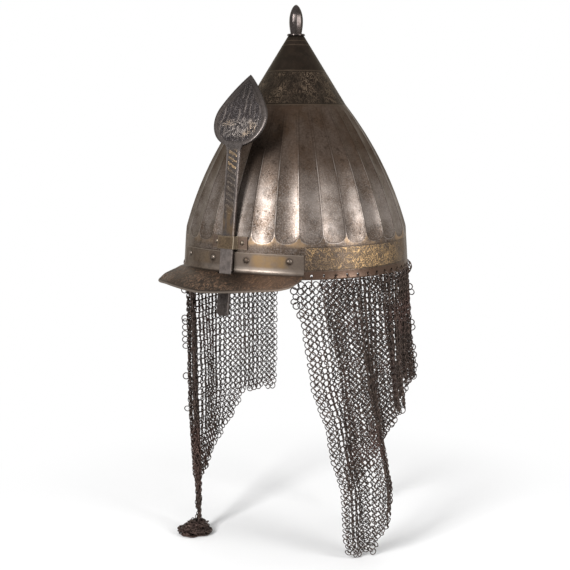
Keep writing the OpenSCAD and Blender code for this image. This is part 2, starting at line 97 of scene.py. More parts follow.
# Exponent of the hollows' rounded ends: 2 is a half circle, more is squarer
FOOT_SQUARE = 3.2


def body_radius(z):
    """Outside radius of the plain shell at a height."""
    z = np.asarray(z, float)
    brow = RIM_R - z * tan(BROW_LEAN)
    ogive = OGIVE_X + np.sqrt(OGIVE_R ** 2 - (z - OGIVE_Z) ** 2)
    cone_r = OGIVE_X + sqrt(OGIVE_R ** 2 - (CONE_H - OGIVE_Z) ** 2)
    cone = cone_r + (APEX_R - cone_r) * (z - CONE_H) / (APEX_H - CONE_H)
    return np.where(z < SHOULDER_H, brow, np.where(z < CONE_H, ogive, cone))


def fluted_radius(z, a):
    """Outside radius with the hollows, at a height and an azimuth measured from a ridge."""
    z, a = np.broadcast_arrays(np.asarray(z, float), np.asarray(a, float))
    r = body_radius(z)
    off = np.abs(np.mod(a, 2 * HALF_FLUTE) - HALF_FLUTE)
    past = np.where(z < FLUTE_FOOT, FLUTE_FOOT - z, np.maximum(0, z - FLUTE_TOP))
    past = np.minimum(past, FLUTE_END)
    axis = r * cos(HALF_FLUTE) + np.sqrt(FLUTE_R ** 2 - (r * sin(HALF_FLUTE)) ** 2)
    side = r * np.sin(off)
    reach = np.where(past > 0, (side ** FOOT_SQUARE + past ** FOOT_SQUARE) ** (1 / FOOT_SQUARE), side)
    x = axis - np.sqrt(FLUTE_R ** 2 - reach ** 2)
    hollow = np.minimum(r, np.hypot(x, side))
    return np.where((z > FLUTE_FOOT - FLUTE_END) & (z < CONE_H + 2), hollow, r)


# Meshes

def plain_mesh(obj):
    """A plain mesh of what an object's modifiers make, without the modifiers."""
    bpy.context.view_layer.update()
    mesh = bpy.data.meshes.new_from_object(obj.evaluated_get(bpy.context.evaluated_depsgraph_get()))
    obj.modifiers.clear()
    return mesh


def new_piece(name, points, faces, uvs=None):
    """Makes an object at the origin from points in millimetres and faces of point numbers."""
    mesh = bpy.data.meshes.new(name)
    mesh.from_pydata((np.asarray(points, float) * MM).tolist(), [], [list(f) for f in faces])
    if uvs is not None:
        layer = mesh.uv_layers.new(name="UVMap")
        loops = np.zeros(len(mesh.loops), np.int32)
        mesh.loops.foreach_get("vertex_index", loops)
        layer.data.foreach_set("uv", np.asarray(uvs, np.float32)[loops].ravel())
    mesh.validate()
    mesh.update()
    return link(bpy.data.objects.new(name, mesh))


def link(obj):
    bpy.context.scene.collection.objects.link(obj)
    return obj


def circle(r, angles, z):
    """A row of points round the axis. Azimuths count from the face, -Y, towards +X."""
    return np.stack([r * np.sin(angles), -r * np.cos(angles), np.full(len(angles), z)], -1)


def grid_faces(rows, columns, start=0, flip=False):
    """Quads between closed rows of points."""
    faces = []
    for j in range(rows - 1):
        for i in range(columns):
            k = (i + 1) % columns
            low, high = start + j * columns, start + (j + 1) * columns
            quad = (low + i, low + k, high + k, high + i)
            faces.append(quad[::-1] if flip else quad)
    return faces


def fan(start, columns, tip, flip=False):
    """Triangles between a closed row of points and one point."""
    pairs = [(start + i, start + (i + 1) % columns) for i in range(columns)]
    return [(b, a, tip) if flip else (a, b, tip) for a, b in pairs]


def arc(x, y, r, start, end, steps, first=1):
    """Points (x, y) along an arc, by default without the one that it starts from."""
    turns = [mix(start, end, k / steps) for k in range(first, steps + 1)]
    return [(x + r * cos(a), y + r * sin(a)) for a in turns]


def finish(obj, material):
    obj.data.materials.clear()
    obj.data.materials.append(material)


def dress(obj, material, body, node):
    """Gives a piece its finish, its body and the CAD node that it stands for."""
    finish(obj, material)
    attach(obj, body)
    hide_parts(node)


def face_outwards(obj, merge=0.00001):
    """Merges points that lie closer than a distance and turns every face of a closed piece outwards."""
    work = bmesh.new()
    work.from_mesh(obj.data)
    if merge:
        bmesh.ops.remove_doubles(work, verts=work.verts, dist=merge)
    bmesh.ops.recalc_face_normals(work, faces=work.faces)
    work.to_mesh(obj.data)
    work.free()
    obj.data.update()


def smooth(obj, limit):
    """Smooth shading, with edges above an angle in degrees kept sharp."""
    obj.data.shade_smooth()
    obj.data.set_sharp_from_angle(angle=radians(limit))
    return obj


# Shader nodes

# Colour of a metal's edges, and the scale that turns metres to millimetres
EDGE_TINT = (0.7, 0.66, 0.6)
IN_MM = (1000, 1000, 1000)


def sign(name, swapped=False):
    """A method that adds the Math node of an operator sign."""
    def add_math(a, b):
        return a.tree.math(name, b, a) if swapped else a.tree.math(name, a, b)
    return add_math


class Value:
    """An output of a node tree. The signs + - * / % < between values add Math nodes."""
    __add__, __radd__ = sign("ADD"), sign("ADD", True)
    __sub__, __rsub__ = sign("SUBTRACT"), sign("SUBTRACT", True)
    __mul__, __rmul__ = sign("MULTIPLY"), sign("MULTIPLY", True)
    __truediv__, __rtruediv__ = sign("DIVIDE"), sign("DIVIDE", True)
    __mod__, __lt__ = sign("FLOORED_MODULO"), sign("LESS_THAN")

    def __init__(self, tree, socket):
        self.tree = tree
        self.socket = socket

    def __abs__(self):
        return self.tree.math("ABSOLUTE", self)


class Tree:
    """Short names for adding nodes to a tree."""

    def __init__(self, tree):
        self.nodes = tree.nodes
        self.links = tree.links

    def fill(self, node, inputs):
        """Links values to a node's inputs, or sets these to plain numbers and colours."""
        for key, value in dict(inputs).items():
            socket = node.inputs[key]
            if isinstance(value, Value):
                self.links.new(value.socket, socket)
            else:
                socket.default_value = colour(value) if socket.type == "RGBA" else value

    def make(self, kind, inputs=(), **settings):
        """Adds a node, fills its inputs by number or name and gives its outputs."""
        node = self.nodes.new(kind)
        for key, value in settings.items():
            setattr(node, key, value)
        self.fill(node, inputs)
        return [Value(self, socket) for socket in node.outputs]

    def math(self, operation, *values, clamp=False):
        return self.make("ShaderNodeMath", enumerate(values), operation=operation, use_clamp=clamp)[0]

    def most(self, a, b):
        return self.math("MAXIMUM", a, b)

    def length(self, a, b):
        return self.math("SQRT", a * a + b * b)

    def total(self, value, *more):
        """The sum of masks, up to 1."""
        for other in more:
            value = self.math("ADD", value, other, clamp=True)
        return value

    def blend(self, factor, a, b):
        """The mix of two colours."""
        return self.make("ShaderNodeMix", {0: factor, 6: a, 7: b}, data_type="RGBA")[2]

    def noise(self, vector, scale, detail=4, rough=0.55):
        inputs = {"Vector": vector, "Scale": scale, "Detail": detail, "Roughness": rough}
        return self.make("ShaderNodeTexNoise", inputs)[0]

    def cells(self, vector, scale, spread=1):
        """Distance from the middles of scattered cells."""
        return self.make("ShaderNodeTexVoronoi", {"Vector": vector, "Scale": scale, "Randomness": spread})[0]

    def stretch(self, vector, scale, shift=(0, 0, 0)):
        return self.make("ShaderNodeMapping", {"Vector": vector, "Scale": scale, "Location": shift})[0]

    def join(self, x, y, z=0):
        return self.make("ShaderNodeCombineXYZ", {0: x, 1: y, 2: z})[0]

    def split(self, vector):
        return self.make("ShaderNodeSeparateXYZ", {0: vector})

    def step(self, value, start, end):
        """A smooth change from 0 at the start to 1 at the end, which may be the lower of the two."""
        inputs = {"Value": value, "From Min": start, "From Max": end}
        return self.make("ShaderNodeMapRange", inputs, interpolation_type="SMOOTHSTEP")[0]

    def band(self, value, low, high, edge):
        """1 between low and high, 0 outside, with soft edges."""
        rise = self.step(value, low - edge, low + edge)
        fall = self.step(value, high - edge, high + edge)
        return self.math("SUBTRACT", rise, fall, clamp=True)

    def coat(self, mask, over):
        """Lays a colour over the base colour where the mask is 1."""
        self.base = self.blend(mask, self.base, over)

    def object_vector(self):
        return self.make("ShaderNodeTexCoord")[3]

    def uv(self):
        return self.split(self.make("ShaderNodeUVMap", uv_map="UVMap")[0])

    def group(self, name, maker, *inputs):
        """A node group, made at its first use."""
        tree = bpy.data.node_groups.get(name) or maker(name)
        return self.make("ShaderNodeGroup", enumerate(inputs), node_tree=tree)


class Metal(Tree):
    """The shader tree of a metal, with its base colour, height and roughness so far."""

    def __init__(self, name):
        self.material = bpy.data.materials.new(name)
        self.material.use_nodes = True
        super().__init__(self.material.node_tree)
        self.place = self.object_vector()

    def age(self, *inputs):
        """Starts with aged steel: its steel, brown and dark colours, its brownness and its pitting."""
        self.base, self.height, self.rough = self.group("Patina", patina_group, self.place, *inputs)

    def scroll(self, x, y, pitch, line, loose):
        """The lines and the dots of the scrollwork, from two lengths in millimetres."""
        return self.group("Scrollwork", scroll_group, self.join(x, y), pitch, line, loose)

    def cloud(self, scale, start, end, detail=4, rough=0.55):
        """A mask of patches, from 0 where the noise is at the start to 1 where it is at the end."""
        return self.step(self.noise(self.place, scale, detail, rough), start, end)

    def finish(self, metallic, depth, strength):
        """Sets the metal's shader and its bump."""
        bump = self.make("ShaderNodeBump", {"Height": self.height, "Distance": depth, "Strength": strength})
        shader = next(n for n in self.nodes if n.type == "BSDF_PRINCIPLED")
        self.fill(shader, {"Base Color": self.base, "Roughness": self.rough, "Metallic": metallic,
                           "Specular Tint": EDGE_TINT, "Normal": bump[0]})
        return self.material


def colour(value):
    return tuple(value)[:3] + (1,)


def new_group(name, first, inputs, outputs, tree_kind="ShaderNodeTree"):
    """A node group with a first input (its kind), other inputs (name and default) and outputs (name
    and kind). Gives the group, its tree and its inputs."""
    group = bpy.data.node_groups.new(name, tree_kind)
    face = group.interface
    face.new_socket(first, in_out="INPUT", socket_type="NodeSocket" + first)
    for label, value in inputs.items():
        kind = {float: "Float", int: "Int", tuple: "Color"}[type(value)]
        socket = face.new_socket(label, in_out="INPUT", socket_type="NodeSocket" + kind)
        socket.default_value = colour(value) if kind == "Color" else value
    for label, kind in outputs.items():
        face.new_socket(label, in_out="OUTPUT", socket_type="NodeSocket" + kind)
    tree = Tree(group)
    return group, tree, tree.make("NodeGroupInput")[:-1]


def scroll_group(name):
    """Generic scrollwork: volutes that turn left and right among winding stems, and dots.
    Vector is in millimetres, x along the band and y across it."""
    inputs = {"Pitch": 10.0, "Line": 0.5, "Loose": 1.0}
    outputs = {"Lines": "Float", "Dots": "Float"}
    group, t, (vector, pitch, line, loose) = new_group(name, "Vector", inputs, outputs)
    x, y, _ = t.split(vector)
    flat = t.join(x, y)
    shift_x = t.noise(flat, 0.13, 2) - 0.5
    shift_y = t.noise(t.stretch(flat, (1, 1, 1), (40, 17, 5)), 0.13, 2) - 0.5
    swing = pitch * 1.5 * loose
    x = x + shift_x * swing
    y = y + shift_y * swing
    row = t.math("FLOOR", y / pitch)
    cell_x = x / pitch + row % 2 * 0.5
    number = t.math("FLOOR", cell_x) + row
    turn = number % 2 * 2 - 1
    local_x = t.math("FRACT", cell_x) - 0.5
    local_y = t.math("FRACT", y / pitch) - 0.5
    radius = t.length(local_x, local_y)
    angle = t.math("ARCTAN2", local_y, local_x)
    volute = abs(t.math("SINE", (angle * turn + radius * 21) * 0.5))
    width = line / (pitch * 0.15)
    spiral = (volute < width) * t.step(radius, 0.5, 0.4)
    contour = t.noise(t.join(x, y, 3), 1.1 / pitch, 1.5)
    stems = (abs(t.math("SINE", contour * 38)) < width * 0.8) * t.step(radius, 0.3, 0.42)
    dots = t.cells(t.join(x, y), 4 / pitch, 0.8) < 0.3
    t.make("NodeGroupOutput", {0: t.most(spiral, stems), 1: dots})
    return group


def patina_group(name):
    """Aged steel: brown and grey clouds, fine speckle and dark pits."""
    inputs = {"Steel": (0.2, 0.18, 0.16), "Brown": (0.1, 0.06, 0.035), "Dark": (0.02, 0.016, 0.013),
              "Brownness": 0.5, "Pitting": 0.5}
    outputs = {"Color": "Color", "Height": "Float", "Roughness": "Float"}
    group, t, given = new_group(name, "Vector", inputs, outputs)
    vector, steel, brown, dark, brownness, pitting = given
    clouds = t.noise(vector, 22, 6, 0.62)
    patches = t.noise(t.stretch(vector, (1, 1, 0.55)), 75, 5, 0.6)
    speckle = t.noise(vector, 620, 3, 0.7)
    share = t.step(clouds - 0.5 + brownness + (patches - 0.5) * 0.8, 0.3, 0.72)
    t.base = t.blend(share, steel, brown)
    t.coat((1 - t.step(speckle, 0.36, 0.66)) * 0.45, dark)
    pit = t.step(t.cells(vector, 330), 0.3, 0.12) * t.step(patches, 0.47, 0.62)
    pit = t.math("MULTIPLY", pit, pitting, clamp=True)
    stains = t.step(t.noise(vector, 140, 4, 0.6), 0.56, 0.7) * (pitting * 0.7)
    t.coat(stains, dark)
    t.coat(pit, dark)
    height = speckle * 0.35 - pit + patches * 0.6
    t.make("NodeGroupOutput", {0: t.base, 1: height, 2: 0.34 + share * 0.16 + pit * 0.3})
    return group


def bowl_material(tones):
    """The shell. Its UV map runs once per flute in u and in millimetres times 0.01 in v, and its
    attribute holds the depth of the hollows in millimetres."""
    t = Metal("Patinated fluted steel")
    t.age(tones.steel, tones.brown, (0.006, 0.0045, 0.0035), 0.46, 0.85)
    z = t.uv()[1] * MM_PER_UV
    depth = t.make("ShaderNodeAttribute", attribute_name="hollow_depth")[2]
    x, y, _ = t.split(t.place)
    azimuth = t.math("ARCTAN2", x, y * -1)
    # Browner and darker towards the crown: patina, and in part painted shade of the top
    clouds = t.cloud(30, 0.42, 0.68, 5, 0.6)
    t.coat(t.step(z, 62, 132) * (0.5 + clouds * 0.38), (0.034, 0.02, 0.013))
    t.coat(clouds * t.step(z, 150, 60) * 0.3, tones.brown)
    # Painted shade: the side towards -X browner and darker, in part patina
    brown_shaded_side = t.step(azimuth, -0.05, -0.75) * t.cloud(22, 0.3, 0.6, 4, 0.6)
    t.coat(brown_shaded_side * 0.4, (0.04, 0.026, 0.016))
    # Worn, paler hollows and brow, with a bright grain
    worn = t.band(z, 30, 84, 20) * t.cloud(34, 0.34, 0.66) * (0.45 + t.step(depth, 0.1, 0.7) * 0.55)
    t.coat(worn * 0.4, tones.bright)
    t.coat(t.cloud(900, 0.5, 0.62, 2, 0.7) * t.band(z, 20, 90, 24) * 0.3, tones.bright)
    # Edges of the hollows: painted shade as a faint dark line inside a painted highlight along the arris
    fluted = t.band(z, 31, 149, 2)
    furrow = t.band(depth, 0.12, 0.34, 0.08) * fluted
    t.coat(furrow * 0.32, (0.016, 0.011, 0.008))
    arris_highlight = t.most(t.step(depth, 0.14, 0.05) * t.band(z, 46, 104, 16),
                   t.band(depth, 0.02, 0.14, 0.02) * t.band(z, 31, 60, 4))
    t.coat(arris_highlight * t.cloud(55, 0.32, 0.6) * 0.5, tones.bright)
    # Brass brown below the flutes' feet, fainter towards -X as painted shade
    foot = t.band(z, 29.5, 38, 2.5) * t.step(depth, 0.12, 0) * t.cloud(48, 0.4, 0.62, 5, 0.6)
    t.coat(foot * (0.35 + t.step(azimuth, -0.1, 0.15) * 0.65) * 0.72, (0.3, 0.2, 0.115))
    # Gilded scroll band round the brow, plain in front where the peak's flange covers it
    scroll = t.scroll(azimuth * RIM_R, z, 10.5, 0.62, 1.3)
    behind = t.step(abs(azimuth), radians(FLANGE_DEGREES + 0.3), radians(FLANGE_DEGREES + 1.6))
    brow = t.band(z, 8.6, 28.6, 0.5) * behind
    patches = t.step(t.noise(t.stretch(t.place, (1, 1, 0.6), (0.02, 0.05, 0)), 21, 4, 0.6), 0.47, 0.62)
    lines = t.most(scroll[0], scroll[1] * 0.5) * brow
    t.coat(brow * 0.45, (0.062, 0.047, 0.037))
    t.coat(brow * patches * 0.15, (0.15, 0.095, 0.05))
    # Painted highlight: the band paler and more gilded towards +X, between 58 and 88 degrees, over its real
    # gilding
    kept = t.band(azimuth, radians(58), radians(88), 0.3) * t.cloud(60, 0.3, 0.55, 3, 0.6)
    t.coat(brow * kept * 0.28, (0.2, 0.14, 0.085))
    t.coat(lines * (0.14 + t.most(patches * 0.66, kept * 0.78)), tones.gilt)
    borders = t.total(t.band(z, 8, 8.9, 0.2), t.band(z, 28.6, 29.4, 0.25)) * behind
    t.coat(borders * 0.45, (0.02, 0.014, 0.01))
    # Reddish brown rim below the band
    t.coat(t.step(z, 8.2, 6.6) * 0.6, (0.07, 0.04, 0.027))
    # Cone: darker, as patina and in part painted shade of the top, with an engraved band between two lines
    # and faint rings near the top
    cone = t.step(z, 153, 157)
    t.coat(cone * (0.8 + t.cloud(120, 0.6, 0.4, 4, 0.6) * 0.16), tones.cone)
    cone_scroll = t.scroll(azimuth * 44, z * 0.6, 7.4, 0.5, 1.6)
    cone_band = t.band(z, 157, 186, 0.6)
    cone_lines = t.most(cone_scroll[0], cone_scroll[1] * 0.35) * cone_band
    t.coat(cone_lines * (0.2 + t.cloud(60, 0.4, 0.62, 3) * 0.6), tones.cone_line)
    rings = t.total(t.band(z, 154.9, 155.9, 0.3), t.band(z, 187, 188, 0.3), t.band(z, 212, 212.7, 0.25),
                    t.band(z, 216, 216.7, 0.25))
    t.coat(rings * 0.3, tones.cone_line)
    t.height -= t.total(lines, cone_lines, (rings + borders) * 0.8) * 1.3
    t.rough += cone * 0.06
    return t.finish(0.9, 0.00015, 0.55)


def steel_material(name, steel, brown, brownness, pitting, rough_by=0):
    """Plain aged steel for small parts."""
    t = Metal(name)
    t.age(steel, brown, (0.012, 0.009, 0.007), brownness, pitting)
    if rough_by:
        t.rough += rough_by
    return t.finish(0.88, 0.00012, 0.5)


def strap_material():
    """The bracket's gilded strap, with a painted highlight where it is bent, strongest towards +X, and along
    its top and bottom edges.
    """
    t = Metal("Gilded strap")
    t.age((0.125, 0.088, 0.055), (0.055, 0.037, 0.026), (0.012, 0.009, 0.007), 0.46, 0.6)
    x, _, z = t.split(t.stretch(t.place, IN_MM))
    across = abs(x)
    t.coat(t.step(across, 9.4, 10) * 0.5, (0.13, 0.092, 0.075))
    bend = t.band(across, 8.1, 9.2, 0.25) * (0.12 + t.step(x, -8, 8) * 0.6)
    edge = t.step(abs(z - BRACKET_H), 4.7, 5.4) * 0.12
    t.coat(t.most(bend, edge), (0.42, 0.35, 0.26))
    return t.finish(0.88, 0.00012, 0.5)


def peak_material():
    """The peak. u runs along the brow in millimetres times 0.01, v from the flange's top to the edge."""
    t = Metal("Coppery engraved steel")
    t.age((0.115, 0.088, 0.068), (0.06, 0.037, 0.024), (0.01, 0.007, 0.006), 0.5, 0.6)
    u, v, _ = t.uv()
    plate = t.step(v, 0.42, 0.5)
    flange = t.step(v, 0.42, 0.36)
    # Painted light: the flange paler towards +X
    painted_light_side = t.step(u, -0.35, 0.1)
    t.coat(flange * (0.08 + painted_light_side * 0.42), (0.15, 0.122, 0.102))
    x, y, _ = t.split(t.place)
    # Painted light: the plate's ground paler and its copper lines stronger towards +X
    lit_copper_side = t.step(x, 0.015, 0.06)
    scroll = t.scroll(x * 1000, y * 480, 9, 0.55, 1.5)
    lines = scroll[0] * (plate * t.band(v, 0.5, 0.95, 0.015))
    t.coat(plate * 0.75, t.blend(lit_copper_side, (0.022, 0.016, 0.0135), (0.15, 0.105, 0.08)))
    copper = 0.2 + t.cloud(42, 0.38, 0.62) * 0.4 + lit_copper_side * 0.35
    t.coat(lines * copper, (0.33, 0.2, 0.13))
    # Worn gilding between the rivets of each side, fainter towards -X as painted shade, dark rings round the
    # rivets, and a painted highlight along the bend below, strongest towards +X
    side = abs(u)
    wander = (t.noise(t.place, 60, 4, 0.6) - 0.5) * 0.12
    rub = t.cloud(80, 0.3, 0.62, 5, 0.6)
    gilt = t.band(side + wander, 0.24, 0.55, 0.035) * t.band(v + wander * 0.4, 0.035, 0.3, 0.04)
    kept = (0.3 + rub * 0.55) * t.step(u, -0.6, 0.25)
    t.coat(gilt * kept, (0.165, 0.104, 0.048))
    x, y, z = t.split(t.stretch(t.place, IN_MM))
    along = abs(t.math("ARCTAN2", x, y * -1) * RIM_R)
    inner, outer = [along - RIM_R * radians(a) for a in PEAK_RIVETS]
    near = t.math("MINIMUM", abs(inner), abs(outer))
    near = t.length(near, z - PEAK_RIVET_H)
    t.coat(t.step(near, 4.6, 2.8) * 0.6, (0.03, 0.021, 0.016))
    bright = t.band(v, 0.3, 0.45, 0.04) * t.cloud(50, 0.3, 0.6) * (0.25 + painted_light_side * 0.75)
    t.coat(bright * 0.55, (0.26, 0.22, 0.19))
    # Painted highlight along the plate's edge and the flange's top
    edge = t.most(t.step(v, 0.97, 0.985), t.step(v, 0.02, 0.006))
    t.coat(edge * 0.5, (0.24, 0.2, 0.165))
    t.height -= lines * 1.2
    return t.finish(0.88, 0.00014, 0.55)


def nasal_material(tones):
    """The bar and its leaf. u and v are millimetres times 0.01 on the bar's own face, v up from
    the bracket."""
    t = Metal("Engraved leaf steel")
    t.age((0.085, 0.074, 0.07), (0.042, 0.032, 0.028), (0.007, 0.006, 0.005), 0.48, 0.5)
    u, v, _ = t.uv()
    x, y = u * MM_PER_UV, v * MM_PER_UV
    # The leaf's sunk field, inside its plain border
    up = y - NASAL_ABOVE
    wide = x / (LEAF_W / 2)
    high = (up - LOBE_R) / 27
    round_part = t.length(wide, high)
    spread = abs(x) / t.most((66 - up) * 0.62, 0.1)
    upper = t.band(up, 24, 60, 1) * t.step(spread, 0.93, 0.86)
    field = t.most(t.step(round_part, 0.84, 0.79), upper) * t.step(up, 4, 5)
    # Tall strokes over the whole field and a few curls low in it, on a stippled ground
    curls = t.scroll(x, up * 0.8, 14, 1, 1.2)
    sway = (t.noise(t.join(x * 0.3, up, 4), 0.07, 2) - 0.5) * 9
    column = (x + sway) / 5.6
    number = t.math("FLOOR", column)
    off = abs(t.math("FRACT", column) - 0.5)
    breaks = t.noise(t.join(number * 3.7, up * 0.075, 9), 1, 1)
    tall = t.step(off, 0.2, 0.11) * t.step(breaks, 0.42, 0.5)
    fine = t.noise(t.join(x, up * 0.45, 2), 0.75, 3, 0.6)
    strokes = tall * (0.45 + t.step(fine, 0.38, 0.56) * 0.55)
    curl = curls[0] * t.band(up, 9, 25, 3) * t.step(t.noise(t.join(x, up, 6), 0.06, 1), 0.42, 0.56)
    strokes = t.most(strokes * 0.75, curl) * field
    stipple = (t.cells(t.join(x, y), 0.95) < 0.42) * field
    rubbed = 0.35 + t.cloud(75, 0.4, 0.62) * 0.65
    t.coat(field * 0.7, (0.02, 0.017, 0.018))
    t.coat(stipple * 0.55, (0.085, 0.076, 0.078))
    t.coat(strokes * (rubbed * 0.8), (0.2, 0.172, 0.155))
    gold = curl * field * t.cloud(48, 0.46, 0.62, 2)
    t.coat(curl * (field * 0.35), (0.36, 0.32, 0.29))
    t.coat(gold * 0.25, tones.gilt)
    t.coat(t.step(up, 32, 58) * 0.8, (0.02, 0.017, 0.016))
    # The stem's twisted leaves between two plain edges
    inner = t.step(abs(x), 4.9, 4.3) * t.band(y, 26, 84, 1.5)
    wave = t.math("SINE", y * 1.15 + x * 0.62 + t.noise(t.join(x, y), 0.34, 3) * 7)
    twist = t.step(wave, 0, 0.5) * inner
    furrow = t.band(wave, -0.25, 0.2, 0.15) * inner
    t.coat(inner * 0.25, (0.05, 0.038, 0.03))
    t.coat(furrow * 0.6, (0.018, 0.014, 0.012))
    t.coat(twist * (rubbed * 0.4), (0.15, 0.122, 0.095))
    t.coat(twist * t.band(y, 66, 82, 4) * rubbed * 0.5, tones.gilt)
    brassy = t.band(y, 6, 30, 8) * t.step(t.noise(t.stretch(t.place, (1, 1, 0.25)), 170), 0.36, 0.6)
    t.coat(brassy * 0.75, (0.115, 0.075, 0.04))
    # Painted highlight along the bar's edges, a paler leaf border, and a paler lower bar
    edge_highlight = t.step(abs(x), 5.3, 6.1) * t.step(up, 2, -6)
    border = t.step(up, -2, 2) * (1 - field)
    pale = t.most(edge_highlight * 0.4, border * 0.06)
    low = t.band(y, -34, -4, 3) * 0.38
    mottle = 0.45 + t.cloud(210, 0.35, 0.65, 4, 0.6) * 0.55
    pale = t.most(pale, low) * mottle
    t.coat(pale, (0.28, 0.235, 0.215))
    t.height += t.total(strokes + twist, stipple * 0.5) * 1.2
    return t.finish(0.88, 0.00015, 0.6)


def mail_material(tones):
    """The rings' iron, with reddish patches."""
    t = Metal("Dark mail iron")
    drift = t.noise(t.place, 18, 3, 0.5)
    t.base = t.blend(t.cloud(160, 0.35, 0.65, 3, 0.6), tones.mail, (0.085, 0.062, 0.052))
    t.coat(t.step(drift, 0.5, 0.66) * 0.5, (0.1, 0.058, 0.05))
    t.height = t.noise(t.place, 1400, 2, 0.6)
    t.rough = 0.36 + drift * 0.2
    return t.finish(0.85, 0.00008, 0.4)


# Shell

def shell_columns():
    """Azimuths of the shell's points, closer together near the ridges."""
    steps = [0.0, 0.02, 0.06, 0.13, 0.22, 0.34, 0.5, 0.66, 0.78, 0.87, 0.94, 0.98]
    return np.array([(k + s) * 2 * HALF_FLUTE for k in range(FLUTES) for s in steps])


def surface_rows(heights, angles, inset=0.0):
    """Rows of points on the shell, moved in by a distance along the mean normal."""
    rows = []
    for z in heights:
        slope = body_radius(z + 0.5) - body_radius(z - 0.5)
        rows.append(circle(fluted_radius(z, angles) - inset * sqrt(1 + slope ** 2), angles, z))
    return rows


def build_drills():
    """A rod for every rim hole that the peak's flange leaves open, from inside the rim to outside it."""
    points, faces = [], []
    sides, start, end = 12, 100, 120
    first = ceil((FLANGE_DEGREES + 2) / degrees(HOLE_PITCH))
    for k in range(first, 2 * FLUTES - first + 1):
        a = k * HOLE_PITCH
        along = np.array([sin(a), -cos(a), 0.0])
        across = np.array([cos(a), sin(a), 0.0])
        base = len(points)
        for depth in (start, end):
            for b in 2 * pi * np.arange(sides) / sides:
                point = along * depth + across * (HOLE_D / 2) * cos(b)
                points.append(point + np.array([0, 0, HOLE_H + HOLE_D / 2 * sin(b)]))
        faces += grid_faces(2, sides, base)
        faces += [range(base + sides - 1, base - 1, -1), range(base + sides, base + 2 * sides)]
    drills = new_piece("drills", points, faces)
    face_outwards(drills)
    return drills


def drilled_band(angles):
    """The rim band, a closed ring with a lip, drilled by a Boolean that is then removed."""
    n = len(angles)
    # Height and distance from the plain shell's outside
    section = [(0, 0.1), (0.35, 0.42), (0.9, 0.45), (1.5, 0.2), (2.6, 0), (RIM_BAND_TOP, 0),
               (RIM_BAND_TOP, -WALL), (0, -WALL)]
    rows = [circle(body_radius(z) + out, angles, z) for z, out in section]
    last = (len(rows) - 1) * n
    closing = [(last + (i + 1) % n, last + i, i, (i + 1) % n) for i in range(n)]
    band = new_piece("rim_band", np.concatenate(rows), grid_faces(len(rows), n) + closing)
    face_outwards(band)
    drills = build_drills()
    cut = band.modifiers.new("holes", "BOOLEAN")
    cut.operation = "DIFFERENCE"
    cut.solver = "EXACT"
    cut.object = drills
    mesh = plain_mesh(band)
    bpy.data.objects.remove(band)
    bpy.data.objects.remove(drills)
    return mesh


def build_shell():
    """The bowl's wall from the rim to the apex, fluted outside and plain inside."""
    angles = shell_columns()
    n = len(angles)
    # Body and cone, open at the bottom, where they meet the rim band
    heights = np.concatenate([
        [RIM_BAND_TOP, 14, 20, 25, 28], np.arange(29.2, 60, 1.15), np.linspace(61, 140, 16),
        np.arange(142, 159, 1.2), np.linspace(160, APEX_H - 0.5, 14), [APEX_H]])
    inner_heights = np.concatenate([
        [APEX_H - WALL], np.linspace(APEX_H - 6, 160, 6), np.linspace(156, 60, 12),
        np.arange(57, 29, -3.0), [20, RIM_BAND_TOP]])
    rows = surface_rows(heights, angles)
    # The apex's edge is a little narrower than the cone
    rows[-1][:, :2] *= 0.985
    count = len(rows)
    rows += surface_rows(inner_heights, angles, WALL)
    top = len(rows) * n
    points = np.concatenate(rows + [[[0, 0, APEX_H], [0, 0, APEX_H - WALL]]])
    faces = grid_faces(count, n) + grid_faces(len(rows) - count, n, count * n)
    faces += fan((count - 1) * n, n, top) + fan(count * n, n, top + 1, flip=True)
    band = drilled_band(angles)
    body = new_piece("bowl_shell", points, faces)
    # Join the two and drop the caps between them
    work = bmesh.new()
    work.from_mesh(body.data)
    work.from_mesh(band)
    caps = [f for f in work.faces if all(abs(v.co.z - RIM_BAND_TOP * MM) < 1e-6 for v in f.verts)]
    bmesh.ops.delete(work, geom=caps, context="FACES")
    bmesh.ops.remove_doubles(work, verts=work.verts, dist=0.00002)
    bmesh.ops.recalc_face_normals(work, faces=work.faces)
    # u runs once per flute and doesn't jump within a face, v is the height in millimetres times 0.01
    layer = work.loops.layers.uv.new("UVMap")
    for f in work.faces:
        mid = f.calc_center_median()
        mid_u = atan2(mid.x, -mid.y) / (2 * HALF_FLUTE)
        for loop in f.loops:
            p = loop.vert.co
            own = atan2(p.x, -p.y) / (2 * HALF_FLUTE)
            own += round((mid_u - own) / FLUTES) * FLUTES
            loop[layer].uv = (own + FLUTES, p.z / MM * UV_PER_MM)
    work.to_mesh(body.data)
    work.free()
    smooth(body, 19)
    where = np.zeros(len(body.data.vertices) * 3, np.float32)
    body.data.vertices.foreach_get("co", where)
    x, y, z = where.reshape(-1, 3).T / MM
    depth = body_radius(z) - fluted_radius(z, np.arctan2(x, -y))
    store = body.data.attributes.new("hollow_depth", "FLOAT", "POINT")
    store.data.foreach_set("value", depth.astype(np.float32))
    return body


# Finial

